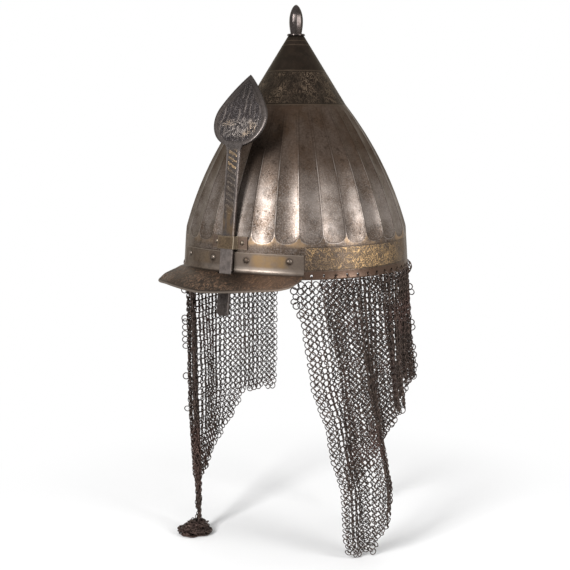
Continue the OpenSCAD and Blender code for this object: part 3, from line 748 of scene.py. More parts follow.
def build_finial():
    """A bud with lengthwise facets on a foot, over the peened tang."""
    base = APEX_H + SEAT_GAP + COLLAR_T + SEAT_GAP
    height, belly, wide, foot = 27.5, 0.42, 6.8, 5.5
    sides, per_side, first_edge = 10, 8, radians(13.5)
    n = sides * per_side
    angles = np.arange(n) * 2 * pi / n
    turn = np.mod(angles + first_edge, 2 * pi / sides) - pi / sides
    facet = cos(pi / sides) / np.cos(turn)

    def flat_row(r, z):
        return np.stack([r * np.cos(angles), r * np.sin(angles), np.full(n, z)], -1)

    rows = []
    levels = np.concatenate([[0.0, 0.012], np.linspace(0.03, 0.9, 26), [0.93, 0.955, 0.975, 0.99]])
    for level in levels:
        if level < belly:
            r = mix(foot, wide, sin(pi / 2 * level / belly))
        else:
            r = wide * (1 - ((level - belly) / (1 - belly)) ** 2) ** 0.6
        r *= 0.96 if level == 0 else 1.0
        rows.append(flat_row(r * mix(facet, 1.0, 0.12), base + level * height))
    # The tang goes down through the collar and the apex, and is peened over inside
    tang_r, head_r, end_r = 2.5, 3.7, 3.0
    under = APEX_H - WALL
    end_z = under - 1.48
    for r, z in [(tang_r, base), (tang_r, under - SEAT_GAP), (head_r, under - SEAT_GAP),
                 (head_r, under - 1.0), (end_r, end_z)]:
        rows.insert(0, flat_row(r, z))
    points = np.concatenate(rows)
    tip = len(points)
    points = np.concatenate([points, [[0, 0, base + height], [0, 0, end_z]]])
    faces = grid_faces(len(rows), n) + fan(tip - n, n, tip) + fan(0, n, tip + 1, flip=True)
    obj = new_piece("finial_bud", points, faces)
    face_outwards(obj)
    return smooth(obj, 16)


# Peak

PEAK_T = 1.5
BEND_R = 4.0
REACH = 149.0
HALF_W = 74.0
CORNER_R = 24.0
CORNER_X = HALF_W - CORNER_R
CORNER_Y = sqrt((REACH - CORNER_R) ** 2 - CORNER_X ** 2)
CORNER_A = atan2(CORNER_X, CORNER_Y)
FLANGE_HALF = radians(FLANGE_DEGREES)
# The v where the flange bends and where the plate begins
BEND_V = 0.34
PLATE_V = 0.46
# The slot for the nasal bar: half its width as an angle, and the rows of the profile that it takes
SLOT_HALF = radians(3.86)
SLOT_ROWS = range(10, 16)
SIDE_END = Vector((sin(FLANGE_HALF), cos(FLANGE_HALF))) * (RIM_R + 5.0)
# Height of the edge at each azimuth: the plate has been bent, and droops most near the middle
EDGE_DROP = [(-37, 3.4), (-34, -1.5), (-31, -5.4), (-27, -6.9), (-20, -6.7), (-10, -8.6), (-3, -9.6),
             (4, -8.4), (10, -7.0), (21, -4.6), (27, -3.8), (31, -2.4), (34, 0.4), (37, 2.9)]


def peak_reach(azimuth):
    """Distance from the axis to the peak's edge at an azimuth."""
    a = abs(azimuth)
    if a <= CORNER_A:
        return REACH
    corner = Vector((HALF_W, CORNER_Y))
    if a >= atan2(*corner):
        side = SIDE_END - corner
        ray = Vector((sin(a), cos(a)))
        return corner.cross(side) / ray.cross(side)
    centre, off = REACH - CORNER_R, a - CORNER_A
    return centre * cos(off) + sqrt(CORNER_R ** 2 - (centre * sin(off)) ** 2)


def peak_profile(azimuth):
    """Points (r, z) of the middle of the sheet, from the flange's top to the edge, with their v."""
    a = abs(degrees(azimuth)) / FLANGE_DEGREES
    top = 23.5 - 1.6 * a ** 3
    bend_z = 9.0 - 1.6 * a ** 2
    mid = SEAT_GAP + PEAK_T / 2
    start = Vector((float(body_radius(bend_z)) + mid / cos(BROW_LEAN), bend_z))
    radius = BEND_R + PEAK_T / 2
    out = Vector((cos(BROW_LEAN), sin(BROW_LEAN)))
    centre = start + out * radius
    reach, drop = peak_reach(azimuth), look(degrees(azimuth), EDGE_DROP)
    fall = 0.3
    for _ in range(20):
        end = centre + Vector((-sin(fall), -cos(fall))) * radius
        fall = atan2(end.y - drop, max(0.5, reach - end.x))
    points, vs = [], []
    for k in range(7):
        z = mix(top, bend_z, k / 6)
        points.append((float(body_radius(z)) + mid / cos(BROW_LEAN), z))
        vs.append(BEND_V * k / 6)
    points += arc(*centre, radius, pi + BROW_LEAN, 1.5 * pi - fall, 8)
    vs += [mix(BEND_V, PLATE_V, k / 8) for k in range(1, 9)]
    sx, sy = points[-1]
    for k in range(1, 17):
        t = k / 16
        arch = 0.9 * sin(pi * t) * min(1.0, (reach - sx) / 20)
        points.append((mix(sx, reach, t), mix(sy, drop, t) + arch))
        vs.append(mix(PLATE_V, 1.0, t))
    return points, vs


def build_peak():
    """The plate with its flange and bend, closed at its edges, with a slot for the nasal bar."""
    # A tenth of a millimetre short of the CAD flange at each side
    half = FLANGE_HALF - 0.0009
    fine = np.linspace(-half, half, 141)
    kept = [a for a in fine if abs(abs(a) - SLOT_HALF) > radians(0.25)]
    angles = sorted([-SLOT_HALF, SLOT_HALF] + kept)
    upper, lower, uvs = [], [], []
    for a in angles:
        profile, v = peak_profile(a)
        count = len(profile)
        for j, (r, z) in enumerate(profile):
            before = Vector(profile[max(0, j - 1)])
            after = Vector(profile[min(count - 1, j + 1)])
            along = (after - before).normalized()
            normal = Vector((-along.y, along.x))
            thin = PEAK_T / 2 * (1.0 if j < count - 1 else 0.45)
            for side, target in ((1, upper), (-1, lower)):
                rr, zz = r + side * normal.x * thin, z + side * normal.y * thin
                target.append((rr * sin(a), -rr * cos(a), zz))
            uvs.append((a * RIM_R * UV_PER_MM, v[j]))
    points = upper + lower
    off = len(upper)
    faces = []
    for i in range(len(angles) - 1):
        in_slot = max(abs(angles[i]), abs(angles[i + 1])) < SLOT_HALF + 1e-6
        for j in range(count - 1):
            if in_slot and j in SLOT_ROWS:
                continue
            a, b = i * count + j, (i + 1) * count + j
            faces += [(a, b, b + 1, a + 1), (a + off, a + off + 1, b + off + 1, b + off)]
    # Close every open edge between the two faces
    edges = {}
    for f in faces:
        if max(f) < off:
            for a, b in zip(f, f[1:] + f[:1]):
                edges[(a, b)] = edges.get((a, b), 0) + 1
    for a, b in list(edges):
        if (b, a) not in edges:
            faces.append((b, a, a + off, b + off))
    obj = new_piece("peak_plate", points, faces, uvs * 2)
    face_outwards(obj, merge=0)
    return smooth(obj, 38)


# Nasal bar

NASAL_T = 3.0
NASAL_LEAN = radians(7.5)
LEAF_LEAN = radians(15.5)
BRACKET_H = 32.0
SLIDE_R = float(body_radius(BRACKET_H)) + 1.9 + NASAL_T / 2
NASAL_ABOVE = 87.0
NASAL_BELOW = 67.0
LEAF_H = 69.0
LEAF_W = 57.5
LOBE_R = LEAF_W * 0.43
LOBE_X = LEAF_W / 2 - LOBE_R


def tilted(y0, z0, lean):
    """Takes points of a leaning plate, x across, y forwards and z up it, to the helmet's frame."""
    c, s = cos(lean), sin(lean)
    return lambda x, y, z: (x, y0 + y * c + z * s, z0 - y * s + z * c)


def leaf_outline(inset):
    """The leaf's outline, drawn in by a distance: two lobes at its foot and two arcs to its tip."""
    a = radians(30)
    join = np.array([LOBE_X + LOBE_R * cos(a), LOBE_R + LOBE_R * sin(a)])
    normal = np.array([cos(a), sin(a)])
    chord = np.array([0, LEAF_H]) - join
    big = -(chord @ chord) / (2 * chord @ normal)
    centre = join - big * normal
    points = [(x, inset) for x in np.linspace(0, LOBE_X, 3)]
    points += arc(LOBE_X, LOBE_R, LOBE_R - inset, -pi / 2, a, 24)
    points += arc(*centre, big - inset, a, acos(-centre[0] / (big - inset)), 20)
    points[-1] = (0.0, points[-1][1])
    left = [(-x, y) for x, y in points[-2:0:-1]]
    return points + left


def stem_outline(inset):
    """The bar's outline, drawn in by a distance: a rounded end, a taper and a flare under the leaf."""
    end, neck, r = 6.5, 7.3, 4.0
    points = arc(end - r, r - NASAL_BELOW, r - inset, -pi / 2, 0, 8, first=0)
    foot, flare = r - NASAL_BELOW, NASAL_ABOVE - 6
    for y in np.linspace(-40, flare, 9):
        points.append((mix(end, neck, (y - foot) / (flare - foot)) - inset, y))
    for k in range(1, 7):
        t = k / 6
        points.append((neck + 3.2 * t ** 2 - inset, flare + 8 * t))
    left = [(-x, y) for x, y in points[::-1]]
    return points + left


def layered_plate(outline, layers, to_world, uv_rise):
    """A closed plate from outlines drawn in by steps: layers of (inset, y) from back to front."""
    points, uvs = [], []
    n = len(outline(0.0))
    for inset, y in layers:
        for x, z in outline(inset):
            points.append(to_world(x, y, z))
            uvs.append((x * UV_PER_MM, (z + uv_rise) * UV_PER_MM))
    last = (len(layers) - 1) * n
    faces = grid_faces(len(layers), n) + [range(n - 1, -1, -1), range(last, last + n)]
    return points, uvs, faces


def build_nasal():
    """The bar and its leaf, one forging. The leaf's last layers sink its field."""
    half = NASAL_T / 2
    edge = [(0.5, half), (0.0, half - 0.5), (0.0, 0.6 - half), (0.25, 0.2 - half), (0.6, -half)]
    along_slide = tilted(-SLIDE_R, BRACKET_H, NASAL_LEAN)
    points, uvs, faces = layered_plate(stem_outline, edge, along_slide, 0.0)
    _, y, z = along_slide(0, 0, NASAL_ABOVE)
    sunk = [(2.2, -half - 0.12), (3.8, -half), (4.3, 0.5 - half)]
    leaf = layered_plate(leaf_outline, edge + sunk, tilted(y, z, NASAL_LEAN + LEAF_LEAN), NASAL_ABOVE)
    faces += [[i + len(points) for i in f] for f in leaf[2]]
    obj = new_piece("nasal_leaf_bar", points + leaf[0], faces, uvs + leaf[1])
    face_outwards(obj, merge=0)
    return smooth(obj, 28)


# Mail

# The curtains' own frame is turned by this many degrees
TURN = 33
MAIL_TOP = -7.85
FLOOR_Z = -289.0
MAIL_H = MAIL_TOP - FLOOR_Z
MAIL_R = 110.6
# Depth of the folds and how many of them each curtain has
FOLD = 6.0
NECK_FOLDS = 7
CHEEK_FOLDS = 2.5
# Azimuths in the curtains' own frame, from the front edge to the back one
CHEEK = [radians(a - TURN) for a in (-60, -136)]
NECK = [radians(a - TURN) for a in (38, 204)]
# Tables over the way down: share of the folds' depth, and sizes as shares of the mail's radius
FOLD_SHARE = [(0, 0), (0.12, 0.33), (0.4, 1), (0.8, 0.83), (1, 0.42)]
NECK_FRONT_X = [(0, 0.02), (0.05, 0.012), (0.12, 0.042), (0.23, 0.083), (0.36, 0.131), (0.48, 0.238),
                (0.58, 0.278), (0.67, 0.339), (0.72, 0.382), (0.9, 0.41), (1, 0.445)]
NECK_BACK_X = [(0, 0.19), (0.25, 0.28), (0.45, 0.42), (0.65, 0.47), (1, 0.5)]
NECK_MID_X = [(0, 1), (0.25, 1.02), (0.5, 1.07), (0.57, 1.11), (0.75, 1.17), (1, 1.15)]
NECK_FRONT_Y = [(0, 1), (0.25, 0.92), (0.5, 0.78), (0.75, 0.65), (1, 0.5)]
NECK_BACK_Y = [(0, 1), (0.25, 0.9), (0.5, 0.74), (0.75, 0.62), (1, 0.5)]
# Tables over the way along a curtain: how far down its hem hangs
NECK_HEM = [(0, 1), (0.124, 1), (0.136, 0.95), (0.188, 0.88), (0.215, 0.8), (0.222, 0.58), (0.255, 0.53),
            (0.28, 0.5), (0.31, 0.47), (0.34, 0.44), (0.42, 0.385), (0.5, 0.39), (0.6, 0.44), (0.66, 0.55),
            (0.74, 0.59), (0.8, 0.69), (0.86, 0.745), (0.92, 0.855), (1, 0.935)]
CHEEK_HEM = [(0, 0.8), (0.36, 0.79), (0.44, 0.75), (0.58, 0.67), (0.68, 0.58), (0.72, 0.53), (1, 0.54)]
# How far the cheek curtain is drawn in to the rope, over the way down
CHEEK_DRAW = [(0, 0), (0.5, 0.02), (0.65, 0.15), (0.8, 0.5), (1, 0.9)]
# Share of the way down, middle x and y as shares of the mail's radius, width and depth as shares of ROPE_W
ROPE = [(0, -0.954, -0.04, 0.41, 0.41), (0.15, -0.948, -0.042, 0.41, 0.45),
        (0.3, -0.94, -0.045, 0.41, 0.45), (0.45, -0.936, -0.048, 0.41, 0.45),
        (0.6, -0.931, -0.052, 0.45, 0.5), (0.72, -0.93, -0.058, 0.47, 0.5),
        (0.8, -0.928, -0.063, 0.4, 0.45), (0.88, -0.927, -0.063, 0.31, 0.36),
        (0.925, -0.925, -0.063, 0.24, 0.27), (0.95, -0.931, -0.054, 0.55, 0.55),
        (0.965, -0.949, -0.045, 1.1, 0.9), (0.985, -0.967, -0.036, 1.64, 1.2), (1, -0.967, -0.036, 1.45, 1)]
ROPE_W = 11.0
ROPE_DROP = 3.0
# Rings that stand out of the curtains' outlines: height, share along the curtain, distance out
NECK_STRAYS = [(z, 0.47, 2.2) for z in (-22, -27, -58, -63, -84, -92, -97, -103)]
NECK_STRAYS += [(-6, 0.012, -5.4), (-10.5, 0.012, -6.6), (-15, 0.012, -5.0), (-19.5, 0.012, -6.4),
                (-24, 0.012, -4.8), (-33, 0.012, -3.6)]
CHEEK_STRAYS = [(z, 0.03, -3.6) for z in (-14, -19, -24, -30, -58, -63, -69, -75, -81, -88, -120, -155)]


def unit(vector):
    return vector / np.linalg.norm(vector)


def hang(x, y, z):
    """Takes a point of the curtains' own frame, x sideways and y forwards, to the helmet's frame."""
    c, s = cos(radians(TURN)), sin(radians(TURN))
    return np.stack([x * c + y * s, x * s - y * c, z], -1)


def neck_surface(u, t):
    """Point of the neck curtain at a share along it and a share of the way down."""
    a = mix(NECK[0], NECK[1], u)
    front = a < pi / 2
    edge = np.where(front, NECK[0], NECK[1])
    w = (np.sin(a) - np.sin(edge)) / (1 - np.sin(edge))
    x = mix(np.where(front, look(t, NECK_FRONT_X), look(t, NECK_BACK_X)), look(t, NECK_MID_X), w)
    y = np.cos(a) / np.cos(edge) * np.where(front, cos(NECK[0]) * look(t, NECK_FRONT_Y),
                                           cos(NECK[1]) * look(t, NECK_BACK_Y))
    fold = FOLD * look(t, FOLD_SHARE) * np.sin(2 * pi * NECK_FOLDS * u + radians(40))
    return hang(MAIL_R * x + fold * np.sin(a), MAIL_R * y + fold * np.cos(a), mix(MAIL_TOP, FLOOR_Z, t))


def cheek_surface(u, t):
    """Point of the cheek curtain, drawn in towards the rope below."""
    a = mix(CHEEK[0], CHEEK[1], u)
    k = look(t, CHEEK_DRAW)
    fold = FOLD * look(t, FOLD_SHARE) * 0.5 * np.sin(2 * pi * CHEEK_FOLDS * u)
    x = mix(MAIL_R * np.sin(a) * (1 - 0.03 * t) + fold * np.sin(a), MAIL_R * ROPE[6][1], k)
    y = mix(MAIL_R * np.cos(a) + fold * np.cos(a), MAIL_R * ROPE[6][2], k)
    return hang(x, y, mix(MAIL_TOP, FLOOR_Z, t))


FIRST_ROW_Z = -4.7
RING_R = 3.6


def way_down(z):
    """Share of the way down at a height, 0 at the mail's top and above it."""
    return max(0.0, (MAIL_TOP - z) / MAIL_H)


def place_of(surface, u, z):
    """Point of a curtain at a height, also a little above its upper edge."""
    point = surface(np.float64(u), np.float64(way_down(z)))
    return np.array([point[0], point[1], z])


def lattice(surface, hem, columns, row_drop, seed, opened=0.0):
    """The rings of a hanging sheet, each with its middle, its axis and a direction across it. Odd rows
    lie half a column along, and "opened" pulls the weave open towards the front edge."""
    rng = np.random.default_rng(seed)
    rings = []
    jag = rng.uniform(-0.012, 0.008, columns + 1)
    for j in range(int((FIRST_ROW_Z - FLOOR_Z) / row_drop)):
        z = FIRST_ROW_Z - j * row_drop
        steps = np.diff([place_of(surface, k / 24, z) for k in range(25)], axis=0)
        width = np.linalg.norm(steps, axis=1).sum()
        edge = (RING_R - 0.6) / width
        for i in range(columns + 1 - j % 2):
            share = (i + 0.5 * (j % 2)) / columns
            share += opened * sin(pi * share)
            u = edge + (1 - 2 * edge) * share
            if way_down(z) > look(u, hem) + jag[i] - RING_R * 0.5 / MAIL_H:
                continue
            across = unit(place_of(surface, min(1, u + 0.004), z) - place_of(surface, max(0, u - 0.004), z))
            up = unit(place_of(surface, u, z + 1.5) - place_of(surface, u, z - 1.5))
            side = 1 if j % 2 else -1
            axis = unit(np.cross(across, up)) + side * (0.5 * across + 0.17 * up) + rng.normal(0, 0.11, 3)
            rings.append((place_of(surface, u, z) + rng.normal(0, 0.26, 3), unit(axis), across))
    return rings


def rope_at(t):
    """Middle, half width and half depth of the rope at a share of the way down."""
    return [look(t, [(p[0], p[k]) for p in ROPE]) for k in (1, 2, 3, 4)]


def rope_rings(seed):
    """Rings of the rolled front edge, which hang edgewise to the face, and of the heap that it ends in."""
    rng = np.random.default_rng(seed)
    rings = []
    face, side = hang(0.0, 1.0, 0.0), hang(1.0, 0.0, 0.0)
    for j in range(int(MAIL_H * 0.975 / ROPE_DROP)):
        z = FIRST_ROW_Z - j * ROPE_DROP
        t = way_down(z)
        x, y, w, d = rope_at(t)
        loose = float(np.clip((t - 0.45) / 0.25, 0, 1))
        for i in range(10 if t < 0.9 else 4):
            k = rng.uniform(-1, 1)
            px = MAIL_R * x + (ROPE_W * w - 2.2) * k * mix(0.35, 0.8, loose)
            py = MAIL_R * y + (ROPE_W * d - 1.5) * rng.uniform(-1, 1)
            axis = side + mix(0.16, 0.6, loose) * rng.normal(0, 1) * face
            axis = axis + np.array([0, 0, rng.normal(0, 0.22)])
            rings.append((hang(px, py, z) + rng.normal(0, 0.3, 3), unit(axis), face))
    for level in range(7):
        z = FLOOR_Z + 1.2 + level * 1.8
        x, y, w, d = rope_at(way_down(z))
        for i in range(int(8 + 34 * w * d)):
            b = rng.uniform(0, 2 * pi)
            k = sqrt(rng.uniform(0, 1))
            px = MAIL_R * x + (ROPE_W * w - 1.5) * k * cos(b)
            py = MAIL_R * y + (ROPE_W * d - 1.5) * k * sin(b)
            axis = np.array([0, 0, 1.0]) + rng.normal(0, 0.42, 3) * (1 if level else 0.25)
            rings.append((hang(px, py, z), unit(axis), side))
    return rings


def stray_rings(surface, strays, seed):
    """Rings that stand out beyond a curtain's outline and show their full round.
    Each has its height, its share along the curtain and how far out it stands."""
    rng = np.random.default_rng(seed)
    rings = []
    face, side = hang(0.0, 1.0, 0.0), hang(1.0, 0.0, 0.0)
    for z, u, out in strays:
        axis = face + rng.normal(0, 0.22, 3)
        rings.append((place_of(surface, u, z) + side * out + rng.normal(0, 0.5, 3), unit(axis), side))
    return rings


def euler_of(axis, across):
    """Euler angles that take +Z to a ring's axis."""
    z = Vector(axis).normalized()
    x = Vector(across)
    x = (x - z * x.dot(z)).normalized()
    y = z.cross(x)
    turn = ((x.x, y.x, z.x), (x.y, y.y, z.y), (x.z, y.z, z.z))
    return tuple(Matrix(turn).to_euler())


def ring_tree(material):
    """Geometry Nodes: a wire ring on every point, turned by the point's own angles."""
    inputs = {"Ring radius": 0.0031, "Wire radius": 0.0005, "Ring sides": 11, "Wire sides": 4,
              "Size spread": 0.05, "Seed": 7}
    outputs = {"Geometry": "Geometry"}
    group, t, given = new_group("Mail rings", "Geometry", inputs, outputs, "GeometryNodeTree")
    points, ring_r, wire_r, ring_sides, wire_sides, spread, seed = given
    loop = t.make("GeometryNodeCurvePrimitiveCircle", {"Resolution": ring_sides, "Radius": ring_r})
    wire = t.make("GeometryNodeCurvePrimitiveCircle", {"Resolution": wire_sides, "Radius": wire_r})
    ring = t.make("GeometryNodeCurveToMesh", {"Curve": loop[0], "Profile Curve": wire[0]})
    turn = t.make("GeometryNodeInputNamedAttribute", {"Name": "turn"}, data_type="FLOAT_VECTOR")
    angles = t.make("FunctionNodeEulerToRotation", {0: turn[0]})
    size = t.make("FunctionNodeRandomValue", {2: 1 - spread, 3: 1 + spread, "Seed": seed}, data_type="FLOAT")
    copies = t.make("GeometryNodeInstanceOnPoints", {
        "Points": points, "Instance": ring[0], "Rotation": angles[0], "Scale": size[1]})
    real = t.make("GeometryNodeRealizeInstances", {"Geometry": copies[0]})
    paint = t.make("GeometryNodeSetMaterial", {"Geometry": real[0], "Material": material})
    t.make("NodeGroupOutput", {"Geometry": paint[0]})
    return group


def ring_mail(name, rings, tree, sizes):
    """One plain mesh of linked rings, each given by its middle, its axis and a direction across it."""
    mesh = bpy.data.meshes.new(name)
    mesh.from_pydata((np.array([ring[0] for ring in rings]) * MM).tolist(), [], [])
    turn = mesh.attributes.new("turn", "FLOAT_VECTOR", "POINT")
    angles = np.array([euler_of(*ring[1:]) for ring in rings], np.float32)
    turn.data.foreach_set("vector", angles.ravel())
    obj = link(bpy.data.objects.new(name, mesh))
    maker = obj.modifiers.new("rings", "NODES")
    maker.node_group = tree
    sockets = {s.name: s.identifier for s in tree.interface.items_tree if s.in_out == "INPUT"}
    maker[sockets["Ring radius"]] = sizes.ring_mean_r
    maker[sockets["Wire radius"]] = sizes.wire_r
    maker[sockets["Ring sides"]] = sizes.ring_sides
    maker[sockets["Wire sides"]] = sizes.wire_sides
    obj.data = plain_mesh(obj)
    obj.data.name = name
    obj.data.shade_smooth()
    return obj


# Settings that a user would change

def tone(name, description, value):
    return FloatVectorProperty(name=name, description=description, subtype="COLOR", size=3, min=0, max=1,
                               default=value)


class HelmetTones(bpy.types.PropertyGroup):
    steel: tone("Steel", "Grey of the cleaned steel", (0.118, 0.09, 0.073))
    brown: tone("Brown", "Brown of the patina", (0.056, 0.035, 0.022))
    bright: tone("Bright", "Bare steel on worn places", (0.335, 0.297, 0.273))
    gilt: tone("Gilding", "Worn gilding of the brow band", (0.46, 0.3, 0.145))
    cone: tone("Cone", "Darkened steel of the cone", (0.0125, 0.009, 0.0065))
    cone_line: tone("Cone lines", "Engraved lines of the cone", (0.11, 0.08, 0.055))
    mail: tone("Mail", "Dark iron of the rings", (0.05, 0.038, 0.034))


class HelmetSizes(bpy.types.PropertyGroup):
    ring_mean_r: FloatProperty(name="Ring radius", description="Mean radius of a mail ring", unit="LENGTH",
                               min=0.001, default=0.0031)
    wire_r: FloatProperty(name="Wire radius", description="Radius of the rings' wire", unit="LENGTH",
                          min=0.0001, default=0.00053)
    ring_sides: IntProperty(name="Ring sides", description="Segments round a ring", min=6, default=11)
    wire_sides: IntProperty(name="Wire sides", description="Segments round the wire", min=3, default=4)
    row_drop: FloatProperty(name="Row drop", description="Height between two rows of rings, in millimetres",
                            min=2, default=3.15)
    neck_columns: IntProperty(name="Neck columns", description="Rings along the neck curtain's top row",
                              min=10, default=50)
    cheek_columns: IntProperty(name="Cheek columns", description="Rings along the cheek curtain's top row",
                               min=6, default=22)


# Operators

class HELMET_OT_bowl(bpy.types.Operator):
    """Builds the fluted bowl with its drilled rim"""
    bl_idname = "helmet.bowl"
    bl_label = "Fluted Bowl"

    def execute(self, context):
        shell = build_shell()
        dress(shell, bowl_material(context.scene.helmet_tones), "helmet", "bowl")
        return {"FINISHED"}


class HELMET_OT_finial(bpy.types.Operator):
    """Builds the faceted bud on the apex and finishes its collar"""
    bl_idname = "helmet.finial"
    bl_label = "Bud Finial"

    def execute(self, context):
        steel = steel_material("Dark bud steel", (0.06, 0.051, 0.049), (0.03, 0.023, 0.02), 0.45, 0.3, -0.2)
        dress(build_finial(), steel, "helmet", "finial")
        finish(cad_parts["finial_collar"], steel)
        return {"FINISHED"}


class HELMET_OT_peak(bpy.types.Operator):
    """Builds the riveted peak"""
    bl_idname = "helmet.peak"
    bl_label = "Peak"

    def execute(self, context):
        dress(build_peak(), peak_material(), "helmet", "peak")
        heads = steel_material("Rivet steel", (0.16, 0.135, 0.115), (0.08, 0.052, 0.035), 0.45, 0.5)
        finish(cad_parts["peak_rivets"], heads)
        return {"FINISHED"}


class HELMET_OT_nasal(bpy.types.Operator):
    """Builds the nasal bar with its leaf and finishes its bracket"""
    bl_idname = "helmet.nasal"
    bl_label = "Nasal Bar"

    def execute(self, context):
        tones = context.scene.helmet_tones
        dress(build_nasal(), nasal_material(tones), "nasal", "nasal_bar")
        rivet = steel_material("Bracket rivet steel", (0.2, 0.165, 0.13), (0.08, 0.052, 0.035), 0.4, 0.4)
        finish(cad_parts["nasal_bracket"], strap_material())
        finish(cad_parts["bracket_rivets"], rivet)
        return {"FINISHED"}


class HELMET_OT_mail(bpy.types.Operator):
    """Hangs the two curtains of mail and finishes the suspension rings"""
    bl_idname = "helmet.mail"
    bl_label = "Mail"

    def execute(self, context):
        sizes = context.scene.helmet_sizes
        iron = mail_material(context.scene.helmet_tones)
        tree = ring_tree(iron)
        neck = lattice(neck_surface, NECK_HEM, sizes.neck_columns, sizes.row_drop, 11)
        cheek = lattice(cheek_surface, CHEEK_HEM, sizes.cheek_columns, sizes.row_drop, 23, 0.035)
        neck += stray_rings(neck_surface, NECK_STRAYS, 3)
        cheek += stray_rings(cheek_surface, CHEEK_STRAYS, 4)
        # The neck curtain is cut at half its rings, counted from the top
        neck.sort(key=lambda ring: -ring[0][2])
        half = len(neck) // 2
        for name, rings, node in (
                ("neck_mail_upper", neck[:half], "neck_mail"), ("neck_mail_lower", neck[half:], "neck_mail"),
                ("cheek_mail_sheet", cheek, "cheek_mail"), ("cheek_mail_rope", rope_rings(5), "cheek_mail")):
            dress(ring_mail(name, rings, tree, sizes), iron, "helmet", node)
        finish(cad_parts["cheek_suspension_rings"], iron)
        finish(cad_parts["neck_suspension_rings"], iron)
        return {"FINISHED"}


class HELMET_OT_stage(bpy.types.Operator):
    """Sets the floor, the lights, the world and the camera"""
    bl_idname = "helmet.stage"
    bl_label = "Stage"

    def execute(self, context):
        scene = context.scene
        scene.view_settings.view_transform = "Standard"
        build_floor()
        build_world(scene)
        build_lights()
        build_camera(scene)
        return {"FINISHED"}


def seen_rays(t):
    """1 for the rays that see the white surroundings, 0 for those that light the object."""
    path = {value.socket.name: value for value in t.make("ShaderNodeLightPath")}
    seen = t.most(path["Is Glossy Ray"], path["Is Transmission Ray"])
    return t.most(path["Is Camera Ray"], seen)


def mixed_surface(t, output, mask, lit, white):
    """Plain white where the mask is 1 and what lights the object where it is 0."""
    both = t.make("ShaderNodeMixShader", {0: mask, 1: lit[0], 2: white[0]})
    t.make(output, {"Surface": both[0]})


def build_floor():
    """A round floor in metres, just below the mail, that fades to the white background."""
    sides, rings, z = 64, [0.3, 0.7, 1.2, 2.0, 4.0, 9.0], FLOOR_Z - 0.6
    angles = 2 * pi * np.arange(sides) / sides
    points = [(0, 0, z)]
    for r in rings:
        points += [(1000 * r * cos(a), 1000 * r * sin(a), z) for a in angles]
    faces = [(0, 1 + i, 1 + (i + 1) % sides) for i in range(sides)]
    faces += grid_faces(len(rings), sides, start=1, flip=True)
    floor = new_piece("floor", points, faces)
    material = bpy.data.materials.new("Pale floor")
    material.use_nodes = True
    t = Tree(material.node_tree)
    t.nodes.clear()
    x, y, _ = t.split(t.object_vector())
    fade = t.step(t.length(x, y), 0.08, 0.42) * seen_rays(t)
    matte = t.make("ShaderNodeBsdfDiffuse", {"Color": (0.86, 0.86, 0.86)})
    mixed_surface(t, "ShaderNodeOutputMaterial", fade, matte, t.make("ShaderNodeEmission"))
    floor.data.materials.append(material)


# Strength of the world's light on the object
SOFT_LIGHT = 0.45


def build_world(scene):
    scene.world = bpy.data.worlds.new("Studio")
    scene.world.use_nodes = True
    t = Tree(scene.world.node_tree)
    t.nodes.clear()
    soft, white = [t.make("ShaderNodeBackground", {"Color": (1, 1, 1), "Strength": power})
                   for power in (SOFT_LIGHT, 1)]
    mixed_surface(t, "ShaderNodeOutputWorld", seen_rays(t), soft, white)


def area_light(name, azimuth, elevation, distance, width, height, power):
    """A soft box aimed at the helmet, placed by its azimuth from the face and its elevation."""
    light = bpy.data.lights.new(name, "AREA")
    light.shape = "RECTANGLE"
    light.size = width
    light.size_y = height
    light.energy = power
    obj = link(bpy.data.objects.new(name, light))
    a, e = radians(azimuth), radians(elevation)
    away = Vector((sin(a) * cos(e), -cos(a) * cos(e), sin(e)))
    obj.location = Vector((0, 0, 0.06)) + away * distance
    obj.rotation_euler = away.to_track_quat("Z", "Y").to_euler()


def build_lights():
    area_light("key_softbox", 0, 23, 1.3, 0.32, 0.52, 20)
    area_light("side_softbox", 86, 15, 1.6, 0.55, 0.8, 17)
    area_light("top_softbox", 200, 70, 1.6, 1.0, 1.0, 5)


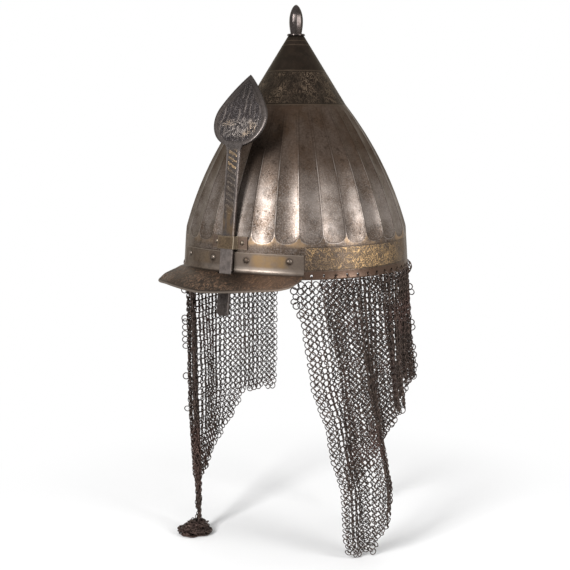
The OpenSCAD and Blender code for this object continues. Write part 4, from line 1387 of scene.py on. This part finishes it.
# The camera that was fitted to the photograph: pixels of the photograph, metres and angles
PHOTO_PX = 570
FOCAL_PX = 1006.8
SHIFT_PX = 11.04
SENSOR = 36
AZIMUTH = radians(33.4)
DISTANCE = 1.0
HEIGHT = 0.1441
DOWN = 0.1654


def build_camera(scene):
    camera = bpy.data.cameras.new("camera")
    obj = link(bpy.data.objects.new("camera", camera))
    obj.location = (DISTANCE * sin(AZIMUTH), -DISTANCE * cos(AZIMUTH), HEIGHT)
    obj.rotation_euler = (pi / 2 - DOWN, 0, AZIMUTH)
    camera.sensor_width = SENSOR
    camera.lens = FOCAL_PX / PHOTO_PX * SENSOR
    camera.shift_x = -SHIFT_PX / PHOTO_PX
    camera.clip_start = 0.01
    camera.clip_end = 50
    scene.camera = obj


class HELMET_PT_panel(bpy.types.Panel):
    """Lists the helmet's pieces and settings"""
    bl_label = "Turban Helmet"
    bl_idname = "HELMET_PT_panel"
    bl_space_type = "VIEW_3D"
    bl_region_type = "UI"
    bl_category = "Helmet"

    def draw(self, context):
        column = self.layout.column()
        for operator in OPERATORS:
            column.operator(operator.bl_idname)
        for group in (context.scene.helmet_sizes, context.scene.helmet_tones):
            for name in group.__annotations__:
                column.prop(group, name)


OPERATORS = (HELMET_OT_stage, HELMET_OT_bowl, HELMET_OT_finial, HELMET_OT_peak, HELMET_OT_nasal,
             HELMET_OT_mail)
CLASSES = (HelmetTones, HelmetSizes) + OPERATORS + (HELMET_PT_panel,)


def register():
    for kind in CLASSES:
        bpy.utils.register_class(kind)
    bpy.types.Scene.helmet_tones = PointerProperty(type=HelmetTones)
    bpy.types.Scene.helmet_sizes = PointerProperty(type=HelmetSizes)


def unregister():
    del bpy.types.Scene.helmet_sizes
    del bpy.types.Scene.helmet_tones
    for kind in reversed(CLASSES):
        bpy.utils.unregister_class(kind)


def main():
    register()
    bpy.ops.helmet.stage()
    bpy.ops.helmet.bowl()
    bpy.ops.helmet.finial()
    bpy.ops.helmet.peak()
    bpy.ops.helmet.nasal()
    bpy.ops.helmet.mail()
    bpy.context.view_layer.update()


if __name__ == "__main__":
    main()
